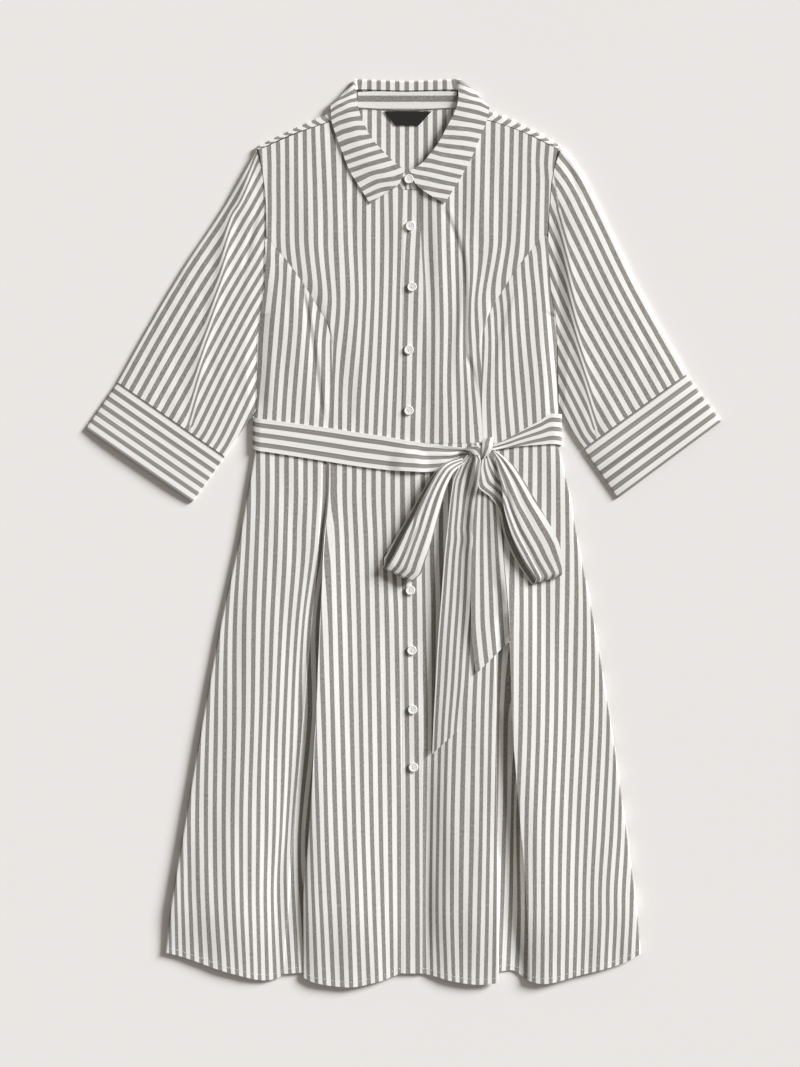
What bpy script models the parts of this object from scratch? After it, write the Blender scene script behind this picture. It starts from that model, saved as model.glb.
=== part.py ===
"""A striped cotton shirt dress with a tied belt, laid flat on its back.

The dress lies on a table. +Z points up out of its front, +Y runs from the hem to the
collar, and -X is the wearer's right. The origin is under the middle of the dress.
Every length in the tables is in millimetres, and the meshes are in metres.

Each cut and sewn piece is one object. Its table gives the outside face of the cloth,
and a Solidify modifier adds the wall on the inner side.
"""
import math

import bpy
import numpy as np
from mathutils import Vector
from mathutils.bvhtree import BVHTree

MM = 0.001

# ---------------------------------------------------------------- driving sizes

WALL = 1.2              # one layer of cloth
BELT_WALL = 1.0
LABEL_WALL = 0.8
SEAM_HALF = 0.25        # half of the gap between two pieces at a seam
REST = 0.3              # gap between a piece and what it lies on
LAYER = REST + WALL     # what one more layer adds to the height

BACK_LIFT = BELT_WALL + REST    # how far the belt lifts the back
UNDER = -LAYER                  # the button stand lies one layer below the placket
FRONT_TOP = BACK_LIFT + WALL + 2 * LAYER    # usual height of the front's outside face
SIDE_TOP = WALL + LAYER         # the front where it lies on the edge of the back

WAIST = 119.0           # y of the waist seam
NECK_FRONT = 453.0      # y of the neck seam at the centre front
HEM_NOMINAL = -580.0

BELT_BACK_Y = 135.3     # middle of the belt where it crosses the back
BELT_HALF = 20.5
BELT_CLEAR = 23.0       # half of the band of the back that the belt lifts
BELT_RAMP = 20.0        # length over which the back comes down again
BELT_TOP = FRONT_TOP + REST + BELT_WALL

PLACKET_LEFT = -1.0     # x of the stitched edge of the placket
TAB_TOP = 6.4           # the stand's tab under the top button
BUTTON_RADIUS = 6.2
BUTTON_THICK = 2.2
BUTTON_SIDES = 16

# ---------------------------------------------------------------- curves and grids


def smooth(where, at, values):
    """Read a smooth curve through the values that never swings past them."""
    at = np.asarray(at, float)
    values = np.asarray(values, float)
    where = np.asarray(where, float)
    step = np.diff(at)
    slope = (np.diff(values, axis=0).T / step).T
    tangent = np.zeros_like(values)
    tangent[0], tangent[-1] = slope[0], slope[-1]
    for i in range(1, len(at) - 1):
        before, after = slope[i - 1], slope[i]
        same_way = before * after > 0.0
        total = np.where(same_way, before + after, 1.0)
        tangent[i] = np.where(same_way, 2.0 * before * after / total, 0.0)
    span = np.clip(np.searchsorted(at, where, side="right") - 1, 0, len(step) - 1)
    t = (where - at[span]) / step[span]
    if values.ndim > 1:
        t = t[:, None]
        step = step[:, None]
    return ((2 * t**3 - 3 * t**2 + 1) * values[span]
            + (t**3 - 2 * t**2 + t) * step[span] * tangent[span]
            + (3 * t**2 - 2 * t**3) * values[span + 1]
            + (t**3 - t**2) * step[span] * tangent[span + 1])


def distances(points):
    """Distance along a run of points, from the first."""
    steps = np.linalg.norm(np.diff(points, axis=0), axis=1)
    return np.concatenate(([0.0], np.cumsum(steps)))


def run(points, steps):
    """Evenly spaced points on a smooth curve through the given ones, ends included."""
    points = np.array(points, float)
    along = distances(points)
    return smooth(np.linspace(0.0, along[-1], steps + 1), along, points)


def fill(lines, parts):
    """A grid of rows across the lines, with each span between two lines cut in parts."""
    lines = np.array(lines, float)
    rows = []
    for r in range(lines.shape[1]):
        keys = lines[:, r]
        along = distances(keys)
        where = [along[0]]
        for k, count in enumerate(parts):
            where += list(np.linspace(along[k], along[k + 1], count + 1)[1:])
        rows.append(smooth(where, along, keys))
    return np.array(rows)


def patch(start, end, first, last):
    """A grid inside four edges: rows run from start to end, columns from first to last."""
    start, end = np.array(start, float), np.array(end, float)
    first, last = np.array(first, float), np.array(last, float)
    v = np.linspace(0.0, 1.0, len(first))[:, None, None]
    u = np.linspace(0.0, 1.0, len(start))[None, :, None]
    ruled_rows = (1 - v) * start[None] + v * end[None]
    ruled_columns = (1 - u) * first[:, None] + u * last[:, None]
    corners = ((1 - v) * (1 - u) * start[0] + (1 - v) * u * start[-1]
               + v * (1 - u) * end[0] + v * u * end[-1])
    return ruled_rows + ruled_columns - corners


def draw_in(grid, edges, amount=SEAM_HALF):
    """Move the named edges of a grid towards its middle, to leave the seam's gap."""
    grid = grid.copy()
    pairs = {"first_row": (np.s_[0], np.s_[1]), "last_row": (np.s_[-1], np.s_[-2]),
             "first_column": (np.s_[:, 0], np.s_[:, 1]),
             "last_column": (np.s_[:, -1], np.s_[:, -2])}
    for edge in edges:
        border, inner = pairs[edge]
        towards = grid[inner] - grid[border]
        towards /= np.linalg.norm(towards, axis=1)[:, None]
        grid[border] += towards * amount
    return grid


# ---------------------------------------------------------------- objects


def finish(name, colour, roughness):
    """One plain finish: a colour and how rough it is."""
    material = bpy.data.materials.new(name)
    material.use_nodes = True
    shader = material.node_tree.nodes["Principled BSDF"]
    shader.inputs["Base Color"].default_value = (*colour, 1.0)
    shader.inputs["Roughness"].default_value = roughness
    return material


def add_object(name, points, faces, material):
    mesh = bpy.data.meshes.new(name)
    mesh.from_pydata([Vector(p) * MM for p in points], [], faces)
    mesh.materials.append(material)
    mesh.shade_smooth()
    mesh.set_sharp_from_angle(angle=math.radians(50))
    item = bpy.data.objects.new(name, mesh)
    bpy.context.scene.collection.objects.link(item)
    return item


def grid_faces(rows, columns, ring=False):
    """Quads of a grid. On a ring, the last column joins the first."""
    faces = []
    for r in range(rows - 1):
        for c in range(columns if ring else columns - 1):
            d = (c + 1) % columns
            here = r * columns
            above = here + columns
            faces.append((here + c, here + d, above + d, above + c))
    return faces


def cloth(name, grid, material, wall=WALL, ring=False, turned=False):
    """One piece of cloth: its outside face is the grid, its wall goes inwards."""
    rows, columns = grid.shape[:2]
    faces = grid_faces(rows, columns, ring)
    if turned:
        faces = [face[::-1] for face in faces]
    item = add_object(name, grid.reshape(-1, 3), faces, material)
    solidify = item.modifiers.new("wall", "SOLIDIFY")
    solidify.thickness = wall * MM
    solidify.offset = -1.0
    solidify.use_even_offset = True
    solidify.use_quality_normals = True
    return item


def surface(*grids):
    """The faces of some grids, to look up their height from above."""
    points, faces = [], []
    for grid in grids:
        base = len(points)
        points += [Vector(p) for p in grid.reshape(-1, 3)]
        faces += [[base + i for i in face] for face in grid_faces(*grid.shape[:2])]
    return BVHTree.FromPolygons(points, faces)


def highest(tree, x, y, reach):
    """Height of the highest place of a surface within reach of a point in plan."""
    found = 0.0
    for dx in (-reach, 0.0, reach):
        for dy in (-reach, 0.0, reach):
            hit = tree.ray_cast(Vector((x + dx, y + dy, 100.0)), Vector((0, 0, -1)))[0]
            if hit is not None:
                found = max(found, hit.z)
    return found


# ---------------------------------------------------------------- the back


def belt_lift(y):
    """1 where the belt lies under the back, 0 well clear of it."""
    past = abs(y - BELT_BACK_Y) - BELT_CLEAR
    return 1.0 - min(max(past / BELT_RAMP, 0.0), 1.0)


def back_under(y):
    """Height of the back's underside."""
    return BACK_LIFT * belt_lift(y)


def side_height(y):
    """Height of the front's outside face where it lies on the edge of the back."""
    return SIDE_TOP + back_under(y)


BACK_LEVELS = (119, 158, 178, 234, 288, 340, 391, 440, 482)
# Each line runs up the back bodice: its x at the levels, where it meets the shoulder or
# the neck (x, y), and where the shoulder seam lies on the front, or None at the neck.
BACK_BODICE = (
    # x at the levels                                          top          shoulder seam
    ((-194, -193.5, -193, -192.5, -188, -183, -181, -181.6, -186), (-194, 510), (-190.5, 506)),
    ((-150, -150, -150, -150, -150, -149, -148, -148, -149), (-150, 531.5), (-148, 525.5)),
    ((-106, -106, -106, -106, -106, -106, -106, -107, -108), (-110, 549), (-108, 539.5)),
    ((-80, -80, -80, -80, -80, -81, -82, -83, -85), (-89, 557), (-88, 546.5)),
    ((-55, -55, -55, -55, -55, -56, -57, -58, -60), (-62, 560), None),
    ((0, 0, 0, 0, 0, 0, 0, 0, 0), (3, 556.5), None),
    ((60, 60, 60, 60, 60, 61, 62, 64, 66), (69, 560), None),
    ((90, 90, 90, 90, 90, 91, 92, 95, 98), (104, 558), (100, 548)),
    ((118, 118, 118, 118, 118, 118, 119, 120, 122), (125, 552.5), (122, 542)),
    ((160, 160, 160, 160, 160, 160, 160, 161, 162), (163, 536), (161, 528)),
    ((203, 204, 204, 202.5, 199, 191.8, 190, 192, 197.5), (206.5, 511.5), (203.5, 507)),
)
SHOULDER_TURN = ((-3.0, 0.0), (0.0, 2.6), (-2.0, 4.9))  # y from the top, z, round the turn
NECK_STEPS = (-3.0, -2.0, -1.0)

SKIRT_LEVELS = (119, 57, -9, -114, -246, -391, -490, HEM_NOMINAL)
SKIRT_ROWS = (119, 112, 92, 57, 24, -9, -60, -114, -180, -246, -320, -391, -440, -490, -538)
SKIRT_SIDE_RIGHT = (-194, -205, -217, -240, -265, -290, -306, -314)
SKIRT_SIDE_LEFT = (203, 218, 230, 251, 273, 294, 307, 313)
BACK_SKIRT = (
    # x at the skirt's levels                        y of the hem
    (SKIRT_SIDE_RIGHT, -552),
    ((-100, -105, -110, -122, -135, -150, -158, -165), -570),
    ((4, 4, 4, 4, 4, 4, 4, 4), -572),
    ((108, 113, 118, 130, 143, 155, 163, 170), -570),
    (SKIRT_SIDE_LEFT, -554),
)


def back_bodice_grid():
    lines = []
    for xs, top, seam in BACK_BODICE:
        line = [(x, y, back_under(y)) for x, y in zip(xs, BACK_LEVELS)]
        if seam:
            line += [(top[0], top[1] + dy, z) for dy, z in SHOULDER_TURN]
            line.append((*seam, FRONT_TOP))
        else:
            line += [(top[0], top[1] + dy, 0.0) for dy in NECK_STEPS]
            line.append((*top, 0.0))
        lines.append(line)
    parts = (2, 2, 1, 2, 2, 2, 2, 1, 2, 2)
    return draw_in(fill(lines, parts), ("first_row", "last_row"))


def down_the_skirt(xs, hem, height):
    """One line down the skirt, at the skirt's rows and then the hem."""
    levels = [-level for level in SKIRT_LEVELS]
    x_rows = smooth([-y for y in SKIRT_ROWS], levels, xs)
    line = [(x, y, height(y)) for x, y in zip(x_rows, SKIRT_ROWS)]
    line.append((xs[-1], hem, height(HEM_NOMINAL)))
    return line


def back_skirt_grid():
    lines = [down_the_skirt(xs, hem, back_under) for xs, hem in BACK_SKIRT]
    return draw_in(fill(lines, (2, 2, 2, 2)), ("first_row",))


# ---------------------------------------------------------------- the skirt's front

# Lines down the skirt, with x and the rise above the usual height at the skirt's levels.
# The skirt hangs in lobes, with a deep pleat under each princess seam.
SKIRT_FRONT_RIGHT = (
    # x                                                rise                          hem
    (SKIRT_SIDE_RIGHT, None, -552),
    ((-182, -192, -204, -226, -251, -275, -288, -290), (0, 0, 0, 0.2, 0.6, 1, 1.5, 2), -558),
    ((-155, -158, -164, -182, -203, -216, -216, -203), (0, 0, 0.4, 1.4, 2.6, 4, 5, 5), -586),
    ((-122, -118, -114, -125, -137, -152, -164, -166), (0, 0, 0.6, 1.4, 2, 2.4, 2.6, 2.6), -586),
    ((-100, -100, -106, -113, -122, -131, -137, -143), (0, 0, -1.2, -1.8, -2, -2, -2, -2), -579),
    ((-89, -88, -92, -96, -101, -104, -104, -94), (0, 0, 1.2, 2.4, 3.4, 4.4, 5, 4.8), -597),
    ((-50, -50, -50, -50, -51, -55, -57, -60), (0, 0, 0.4, 1, 1.6, 2.6, 3.6, 4.2), -597),
    ((-18, -18, -18, -18, -18, -18, -18, -18), (0, 0, 0, 0, 0, 0, 0, 0), -585),
    ((-1, -1, -1, -1, -1, -1, -1, -1), (0, 0, 0, 0, 0, 0, 0, 0), -580),
)
SKIRT_FRONT_LEFT = (
    ((-0.5,) * 8, (UNDER,) * 8, -579),
    ((12,) * 8, (UNDER,) * 8, -579),
    ((29, 29, 29, 29, 30, 31, 31, 32), (-1.1, -1.1, -1.2, -1.4, -1.8, -2, -2, -2), -582),
    ((68, 68, 69, 72, 76, 80, 82, 85), (0, 0, 0.2, 1, 2, 3.6, 4.6, 5), -595),
    ((106, 109, 114, 119, 123, 123, 123, 124), (0, 0, 0.8, 2.2, 3.8, 4.8, 5, 5), -592),
    ((117, 121, 126, 131, 135, 139, 141, 134), (0, 0, -1.2, -1.8, -2, -2, -2, -2), -576),
    ((127, 133, 138, 143, 147, 156, 163, 175), (0, 0, 1, 2.4, 3.6, 4.6, 5, 5), -591),
    ((162, 170, 182, 197, 212, 228, 233, 230), (0, 0, 0.4, 0.8, 1.4, 2, 2.4, 2.6), -583),
    ((191, 205, 218, 238, 259, 282, 294, 291), (0, 0, 0, 0.2, 0.6, 1, 1.4, 1.8), -566),
    (SKIRT_SIDE_LEFT, None, -554),
)


def skirt_front_grid(table, parts, seams):
    levels = [-level for level in SKIRT_LEVELS]
    lines = []
    for xs, zs, hem in table:
        if zs is None:
            height = side_height
        else:
            def height(y, zs=zs):
                return FRONT_TOP + float(smooth(-y, levels, zs))
        lines.append(down_the_skirt(xs, hem, height))
    return draw_in(fill(lines, parts), seams)


# ---------------------------------------------------------------- the bodice's front

UPPER_STEPS = 5         # rows from the shoulder to the start of the princess seam
PRINCESS_STEPS = 9      # rows down the princess seam
ARMHOLE_LOW_STEPS = 4   # rows of a side front beside the armhole
TOP_CORNER_BACK = 0.15  # share by which a side front's top corner stays short of the front

ARMHOLE_TOP_RIGHT = ((-190.5, 505.5, 0), (-187, 482, 0), (-183, 456, -0.2), (-181, 423, -0.4),
                     (-180.5, 391, -0.4))
ARMHOLE_TOP_LEFT = ((203.5, 506.5, 0), (199, 484, 0), (195, 462, -0.2), (192, 426, -0.4),
                    (190, 396, -0.4))
PRINCESS_RIGHT = ((-180.5, 391, -0.4), (-168, 377, -0.2), (-140, 341, 0), (-115, 302, 0),
                  (-99, 272, 0), (-95, 249, 0), (-94, 182, 0), (-94, WAIST, 0))
PRINCESS_LEFT = ((190, 396, -0.4), (173, 379, -0.2), (155, 357, 0), (133, 324, 0), (110, 282, 0),
                 (104, 253, 0), (103, 179, 0), (105, WAIST, 0))
# Lines down a centre front, from the shoulder seam or the neck to the waist:
# x, y and the rise at the top, at the start of the princess seam, over the bust and so on.
FRONT_RIGHT = (
    # top              princess start   bust            below the bust  waist
    ((-140, 527.5, 0), (-135, 391, 0.2), (-98, 300, 0.8), (-84, 180, 0), (-82, WAIST, 0)),
    ((-98, 542, 0), (-100, 391, 0.4), (-80, 300, 0.8), (-70, 180, 0), (-70, WAIST, 0)),
    ((-86, 545.5, 0), (-80, 391, 0.3), (-66, 300, 0.8), (-60, 180, 0), (-60, WAIST, 0)),
    ((-61, 501.5, 0), (-56, 391, 0), (-48, 300, 0.6), (-46, 180, 0), (-46, WAIST, 0)),
    ((-38, 476.5, 0), (-36, 391, 0.1), (-32, 300, 0.2), (-30, 180, 0), (-30, WAIST, 0)),
    ((-18, 460.5, 0), (-18, 391, 0), (-16, 300, 0), (-15, 180, 0), (-15, WAIST, 0)),
    ((-1, NECK_FRONT, 0), (-1, 391, 0), (-1, 300, 0), (-1, 180, 0), (-1, WAIST, 0)),
)
FRONT_LEFT = (
    ((152, 531, 0), (148, 391, 0.2), (106, 300, 0.8), (93, 180, 0), (93, WAIST, 0)),
    ((112, 544, 0), (112, 391, 0.4), (92, 300, 0.8), (82, 180, 0), (82, WAIST, 0)),
    ((98, 546.5, 0), (92, 391, 0.8), (80, 300, 0.8), (72, 180, 0), (72, WAIST, 0)),
    ((73, 502, 0), (70, 391, -0.6), (68, 300, -0.6), (60, 180, 0), (60, WAIST, 0)),
    ((51, 478, 0), (50, 391, 0.6), (50, 300, 0.6), (47, 180, 0), (47, WAIST, 0)),
    ((29, 457, -0.8), (30, 391, -1.2), (31, 300, -1.2), (30, 180, -1.1), (29, WAIST, -1.1)),
    ((12, NECK_FRONT, UNDER), (12, 391, UNDER), (12, 300, UNDER),
     (12, 180, UNDER), (12, WAIST, UNDER)),
    ((-0.5, NECK_FRONT, UNDER), (-0.5, 391, UNDER), (-0.5, 300, UNDER),
     (-0.5, 180, UNDER), (-0.5, WAIST, UNDER)),
)
# Side fronts: the armhole's lower part, the side seam, and two lines down the middle.
ARMHOLE_LOW_RIGHT = ((-182.5, 387, -0.4), (-182, 365, -0.5), (-183, 329, -0.8), (-189, 288, -1.2))
ARMHOLE_LOW_LEFT = ((191, 391, -0.4), (192, 347, -0.7), (194, 320, -0.9), (200, 288, -1.2))
SIDE_SEAM_RIGHT = ((-189, 288), (-192, 258), (-193, 228), (-193, 178), (-193.5, 158), (-194, WAIST))
SIDE_SEAM_LEFT = ((200, 288), (202, 258), (203, 228), (204, 178), (204, 158), (203, WAIST))
SIDE_MIDDLE_RIGHT = (
    ((-181.4, 387.8, -0.3), (-172, 330, 0), (-170, 260, 0.4), (-172, 180, 0), (-174, WAIST, 0)),
    ((-180.2, 388.6, -0.3), (-145, 330, 0.4), (-132, 260, 0.8), (-128, 180, 0), (-126, WAIST, 0)),
)
SIDE_MIDDLE_LEFT = (
    ((189.6, 391.8, -0.3), (180, 330, 0), (181, 260, 0.4), (184, 180, 0), (184, WAIST, 0)),
    ((188.4, 392.6, -0.3), (156, 330, 0.4), (142, 260, 0.8), (138, 180, 0), (137, WAIST, 0)),
)


def raised(points):
    """Points whose third number is the rise above the front's usual height."""
    return np.array(points, float) + (0.0, 0.0, FRONT_TOP)


def front_grid(armhole, princess, table, parts):
    """A centre front, from its outer edge to the centre."""
    outer = np.concatenate((run(raised(armhole), UPPER_STEPS)[:-1],
                            run(raised(princess), PRINCESS_STEPS)))
    lines = [outer]
    for keys in table:
        down = [-key[1] for key in keys]
        where = np.concatenate((np.linspace(down[0], down[1], UPPER_STEPS + 1)[:-1],
                                np.linspace(down[1], down[-1], PRINCESS_STEPS + 1)))
        lines.append(smooth(where, down, raised(keys)))
    return fill(lines, parts)


def side_front_grid(armhole, side_seam, middle, princess, parts):
    """A side front, from the armhole and side seam to the princess seam."""
    side = run([(x, y, side_height(y)) for x, y in side_seam],
               PRINCESS_STEPS - ARMHOLE_LOW_STEPS)
    lines = [np.concatenate((run(raised(armhole), ARMHOLE_LOW_STEPS), side[1:]))]
    for keys in middle:
        lines.append(run(raised(keys), PRINCESS_STEPS))
    inner = run(raised(princess), PRINCESS_STEPS)
    inner[0] += TOP_CORNER_BACK * (lines[-1][0] - inner[0])
    lines.append(inner)
    return draw_in(fill(lines, parts), ("last_row", "last_column"))


# ---------------------------------------------------------------- placket and buttons

PLACKET_RIGHT_EDGE = ((NECK_FRONT, 20), (405, 22.5), (322, 26), (119, 25.5), (-300, 25.5),
                      (HEM_NOMINAL, 25))  # y, x
PLACKET_ROWS = 30
BUTTONS = ((7, 467), (9, 405), (11, 325), (7, 242), (7, 162), (7, 90), (9, 3), (9, -75),
           (11, -154), (12, -232), (13, -308))


def placket_grid():
    """The band that carries the buttonholes, from the neck to the hem."""
    ys = np.linspace(NECK_FRONT - 2 * SEAM_HALF, HEM_NOMINAL, PLACKET_ROWS + 1)
    edge = smooth(-ys, [-y for y, _ in PLACKET_RIGHT_EDGE], [x for _, x in PLACKET_RIGHT_EDGE])
    left = [(PLACKET_LEFT, y, FRONT_TOP) for y in ys]
    right = [(x, y, FRONT_TOP) for x, y in zip(edge, ys)]
    return draw_in(fill([left, right], (3,)), ("first_column",))


def button(name, x, y, z, material):
    """A round button with a raised rim and a dished middle."""
    profile = ((5.4, 0.0), (BUTTON_RADIUS, 0.7), (BUTTON_RADIUS, 1.6), (5.4, BUTTON_THICK),
               (4.2, 1.7))
    points = []
    for radius, height in profile:
        for i in range(BUTTON_SIDES):
            angle = 2 * math.pi * i / BUTTON_SIDES
            points.append((x + radius * math.cos(angle), y + radius * math.sin(angle), z + height))
    faces = grid_faces(len(profile), BUTTON_SIDES, ring=True)
    faces.append(tuple(reversed(range(BUTTON_SIDES))))
    top = (len(profile) - 1) * BUTTON_SIDES
    faces.append(tuple(range(top, top + BUTTON_SIDES)))
    return add_object(name, points, faces, material)


# ---------------------------------------------------------------- sleeves and cuffs

SLEEVE_EDGE = 3.0       # height of a sleeve at its folds
SLEEVE_CROWN = 3.1      # what it rises by between them
CUFF_EDGE = 3.3
CUFF_CROWN = 2.6
FOLD_IN = 1.0           # how far the layers stop short of the fold's outermost line
ARMHOLE_CLEAR = 0.7     # the sleeve stays this far from the body in plan

# The edge beside the body runs up the side seam to the underarm, then round the armhole.
# Its third number is the rise of the upper layer above the front's usual height.
SLEEVE_RIGHT = {
    "body": ((-193.6, 164, -2.5), (-193, 228, -2.5), (-192, 258, -2.3), (-189, 288, -1.2),
             (-183.5, 329, -0.8), (-182.6, 365, -0.5), (-181.8, 391, -0.4), (-181.8, 423, -0.4),
             (-183.2, 456, -0.2), (-187.2, 482, 0), (-194, 506, -0.6)),
    "outer": ((-193, 506), (-240, 425), (-290, 350), (-334, 276), (-377, 199)),
    "inner": ((-193.6, 164), (-212, 137), (-236, 101)),
    "cuff_end": ((-278, 42), (-419, 139)),
    "out": -1,
}
SLEEVE_LEFT = {
    "body": ((204.2, 170, -2.5), (203, 228, -2.5), (202, 258, -2.3), (200, 288, -1.2),
             (194, 320, -0.9), (192, 347, -0.7), (190.5, 391, -0.4), (192, 426, -0.4),
             (195, 462, -0.2), (199, 484, 0), (207.5, 507.5, -0.6)),
    "outer": ((208, 509), (236, 472), (260, 425), (305, 332), (373, 210)),
    "inner": ((204.2, 170), (218, 144), (238, 112)),
    "cuff_end": ((283, 47), (419, 148)),
    "out": 1,
}
# Soft folds of a sleeve: how far across it (0 at the underarm, 1 at the outer fold) at the
# armhole and at the cuff, half-width as a share of the sleeve, and depth.
SLEEVE_FOLDS = (
    # at armhole, at cuff, half-width, depth
    (1.00, 0.32, 0.07, 1.3),
    (0.55, 0.62, 0.06, 0.6),
    (0.80, 0.85, 0.05, 0.5),
)
SLEEVE_ROWS = 11
SLEEVE_COLUMNS = 14
CUFF_ROWS = 2
CUFF_COLUMNS = 6
CUFF_SEAM_HALF = 0.5


def flat_tube(plan, tops):
    """Rings round a tube that lies flat: the lower layer, a fold, the upper layer, a fold."""
    rings = []
    for row, heights in zip(plan, tops):
        ends = row[[0, -1]].copy()
        inward = row[[1, -2]] - row[[0, -1]]
        inward /= np.linalg.norm(inward, axis=1)[:, None]
        layer = row.copy()
        layer[[0, -1]] = ends + inward * FOLD_IN
        lower = [(x, y, 0.0) for x, y in layer]
        upper = [(x, y, z) for (x, y), z in zip(layer, heights)]
        near = (*ends[0], heights[0] / 2)
        far = (*ends[1], heights[-1] / 2)
        rings.append(lower + [far] + upper[::-1] + [near])
    return np.array(rings)


def sleeve_tops(across, along):
    """Height of a sleeve's upper layer, between its two folds and from armhole to cuff."""
    height = SLEEVE_EDGE + SLEEVE_CROWN * (1.0 - abs(2 * across - 1) ** 4)
    for start, end, half_width, depth in SLEEVE_FOLDS:
        centre = start + (end - start) * along ** 0.7
        height -= depth * math.exp(-((across - centre) / half_width) ** 2) * min(1.0, along * 4)
    return max(height, SLEEVE_EDGE)


def sleeve_grid(table):
    body = run(raised(table["body"]), SLEEVE_COLUMNS)
    body[:, 0] += table["out"] * ARMHOLE_CLEAR
    outer = run(table["outer"], SLEEVE_ROWS)
    outer[0] = body[-1, :2]
    inner = run(table["inner"], SLEEVE_ROWS)
    inner[0] = body[0, :2]
    seam = run((inner[-1], outer[-1]), SLEEVE_COLUMNS)
    plan = draw_in(patch(body[:, :2], seam, inner, outer), ("last_row",), CUFF_SEAM_HALF)
    tops = []
    for r in range(SLEEVE_ROWS + 1):
        along = r / SLEEVE_ROWS
        near_seam = max(0.0, 1.0 - along * 5)
        row = []
        for c in range(SLEEVE_COLUMNS + 1):
            free = sleeve_tops(c / SLEEVE_COLUMNS, along)
            row.append(free + (body[c, 2] - free) * near_seam)
        tops.append(row)
    return flat_tube(plan, tops)


def cuff_grid(table):
    """A straight band round the end of the sleeve."""
    seam = run((table["inner"][-1], table["outer"][-1]), CUFF_COLUMNS)
    end = run(table["cuff_end"], CUFF_COLUMNS)
    first = run((seam[0], end[0]), CUFF_ROWS)
    last = run((seam[-1], end[-1]), CUFF_ROWS)
    plan = draw_in(patch(seam, end, first, last), ("first_row",), CUFF_SEAM_HALF)
    across = np.linspace(-1, 1, CUFF_COLUMNS + 1)
    tops = [CUFF_EDGE + CUFF_CROWN * (1.0 - abs(across) ** 4)] * (CUFF_ROWS + 1)
    return flat_tube(plan, tops)


# ---------------------------------------------------------------- collar

# Sections of the collar fall, from the front edge of the right leaf round the back of the
# neck to the left leaf. Each goes from the roll at the stand to the free edge.
COLLAR_FALL = (
    # roll            quarter            three quarters      free edge
    ((1, 478, 8.5), (-6, 465, 8.5), (-24, 447, 8.0), (-44, 434.5, 7.4)),
    ((-15, 492, 8.5), (-27, 479, 8.7), (-42, 466, 8.1), (-57, 455, 7.4)),
    ((-30, 507, 8.5), (-43, 496, 8.7), (-58, 486, 8.1), (-71, 478, 7.4)),
    ((-43, 522, 8.5), (-56, 514, 8.7), (-70, 507, 8.1), (-81, 503, 7.4)),
    ((-51, 538, 8.5), (-65, 532, 8.7), (-79, 528, 8.1), (-89, 525, 7.4)),
    ((-57, 552, 8.5), (-70, 550, 8.7), (-84, 547, 8.1), (-95, 545, 7.4)),
    ((-60, 565, 8.1), (-72, 566, 8.3), (-85, 566, 7.9), (-96, 562, 7.0)),
    ((-61, 576, 7.0), (-70, 580, 7.2), (-80, 579, 5.6), (-86, 574, 3.6)),
    ((-58, 584, 5.4), (-65, 592, 5.4), (-72, 589.5, 2.6), (-71, 580, 0.3)),
    ((-50, 585.5, 4.6), (-56, 597, 4.6), (-61, 599, 2.3), (-54, 575, 0.0)),
    ((-34, 585, 4.4), (-34, 596, 4.4), (-34, 598, 2.2), (-34, 573, 0.0)),
    ((3, 584, 4.4), (3, 595, 4.4), (3, 596.5, 2.2), (3, 572, 0.0)),
    ((42, 585, 4.4), (42, 596, 4.4), (42, 598, 2.2), (42, 573, 0.0)),
    ((61, 585.5, 4.6), (68, 597.5, 4.6), (75, 599.5, 2.3), (66, 575, 0.0)),
    ((69, 584.5, 5.4), (77, 592.5, 5.4), (86, 590, 2.6), (84, 580, 0.3)),
    ((71, 577, 7.0), (82, 581, 7.2), (94, 581, 5.6), (101, 573, 3.6)),
    ((70, 566, 8.1), (84, 566, 8.3), (99, 565, 7.9), (113, 560, 7.0)),
    ((65, 551, 8.5), (79, 548, 8.7), (95, 545, 8.1), (109, 542, 7.4)),
    ((58, 537, 8.5), (71, 531, 8.7), (87, 526, 8.1), (101, 522, 7.4)),
    ((48, 518, 8.5), (61, 511, 8.7), (77, 504, 8.1), (91, 498, 7.4)),
    ((36, 501, 8.5), (49, 491, 8.7), (64, 482, 8.1), (79, 475, 7.4)),
    ((22, 486, 8.5), (35, 474, 8.7), (50, 463, 8.1), (67, 455, 7.4)),
    ((9, 477, 8.5), (20, 461, 8.5), (35, 448, 8.0), (54, 436, 7.4)),
)
# The stand's roll, in the neck opening, from the centre front to the side of the neck. On
# the right it starts at the tab that takes the top button.
STAND_TAB = ((20, 453.3, 5.5), (9, 453.3, 5.5))
ROLL_RIGHT = ((17, 474, 6.0), (8, 476, 6.4), (1, 477, 6.8), (-15, 491, 6.9), (-29, 506, 6.9),
              (-42, 522, 6.9), (-54, 545, 6.7), (-58, 561, 6.5))
ROLL_LEFT = ((21, 474, 6.2), (35, 500, 6.9), (49, 521, 6.9), (62, 547, 6.7), (68, 562, 6.5))
NECK_COLUMNS = slice(5, 12)     # the columns of a centre front that end at the neck
STAND_BACK = (
    ((-62, 562, 1.6), (-60, 582, 3.2)),
    ((-34, 560.6, 0.9), (-34, 583, 2.6)),
    ((3, 558, 0.8), (3, 582.4, 2.6)),
    ((40, 560.6, 0.9), (42, 583, 2.6)),
    ((70, 562, 1.6), (70, 582.6, 3.2)),
)
LABEL_TOP = ((-25, 554.5), (36, 554.5))
LABEL_BOTTOM = ((-11, 538.5), (20, 538))


def section_strip(sections, parts, steps):
    """A strip through sections, with a number of steps between each two."""
    sections = np.array(sections, float)
    keys = fill([sections[:, k] for k in range(sections.shape[1])], parts)
    index = np.arange(len(keys))
    where = np.linspace(0, len(keys) - 1, (len(keys) - 1) * steps + 1)
    return np.stack([smooth(where, index, keys[:, c]) for c in range(keys.shape[1])], axis=1)


def front_stand_grid(neck, roll):
    """The stand between the neck edge of a front and the roll of the collar."""
    return draw_in(fill([neck, run(roll, len(neck) - 1)], (3,)), ("first_column",))


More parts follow.
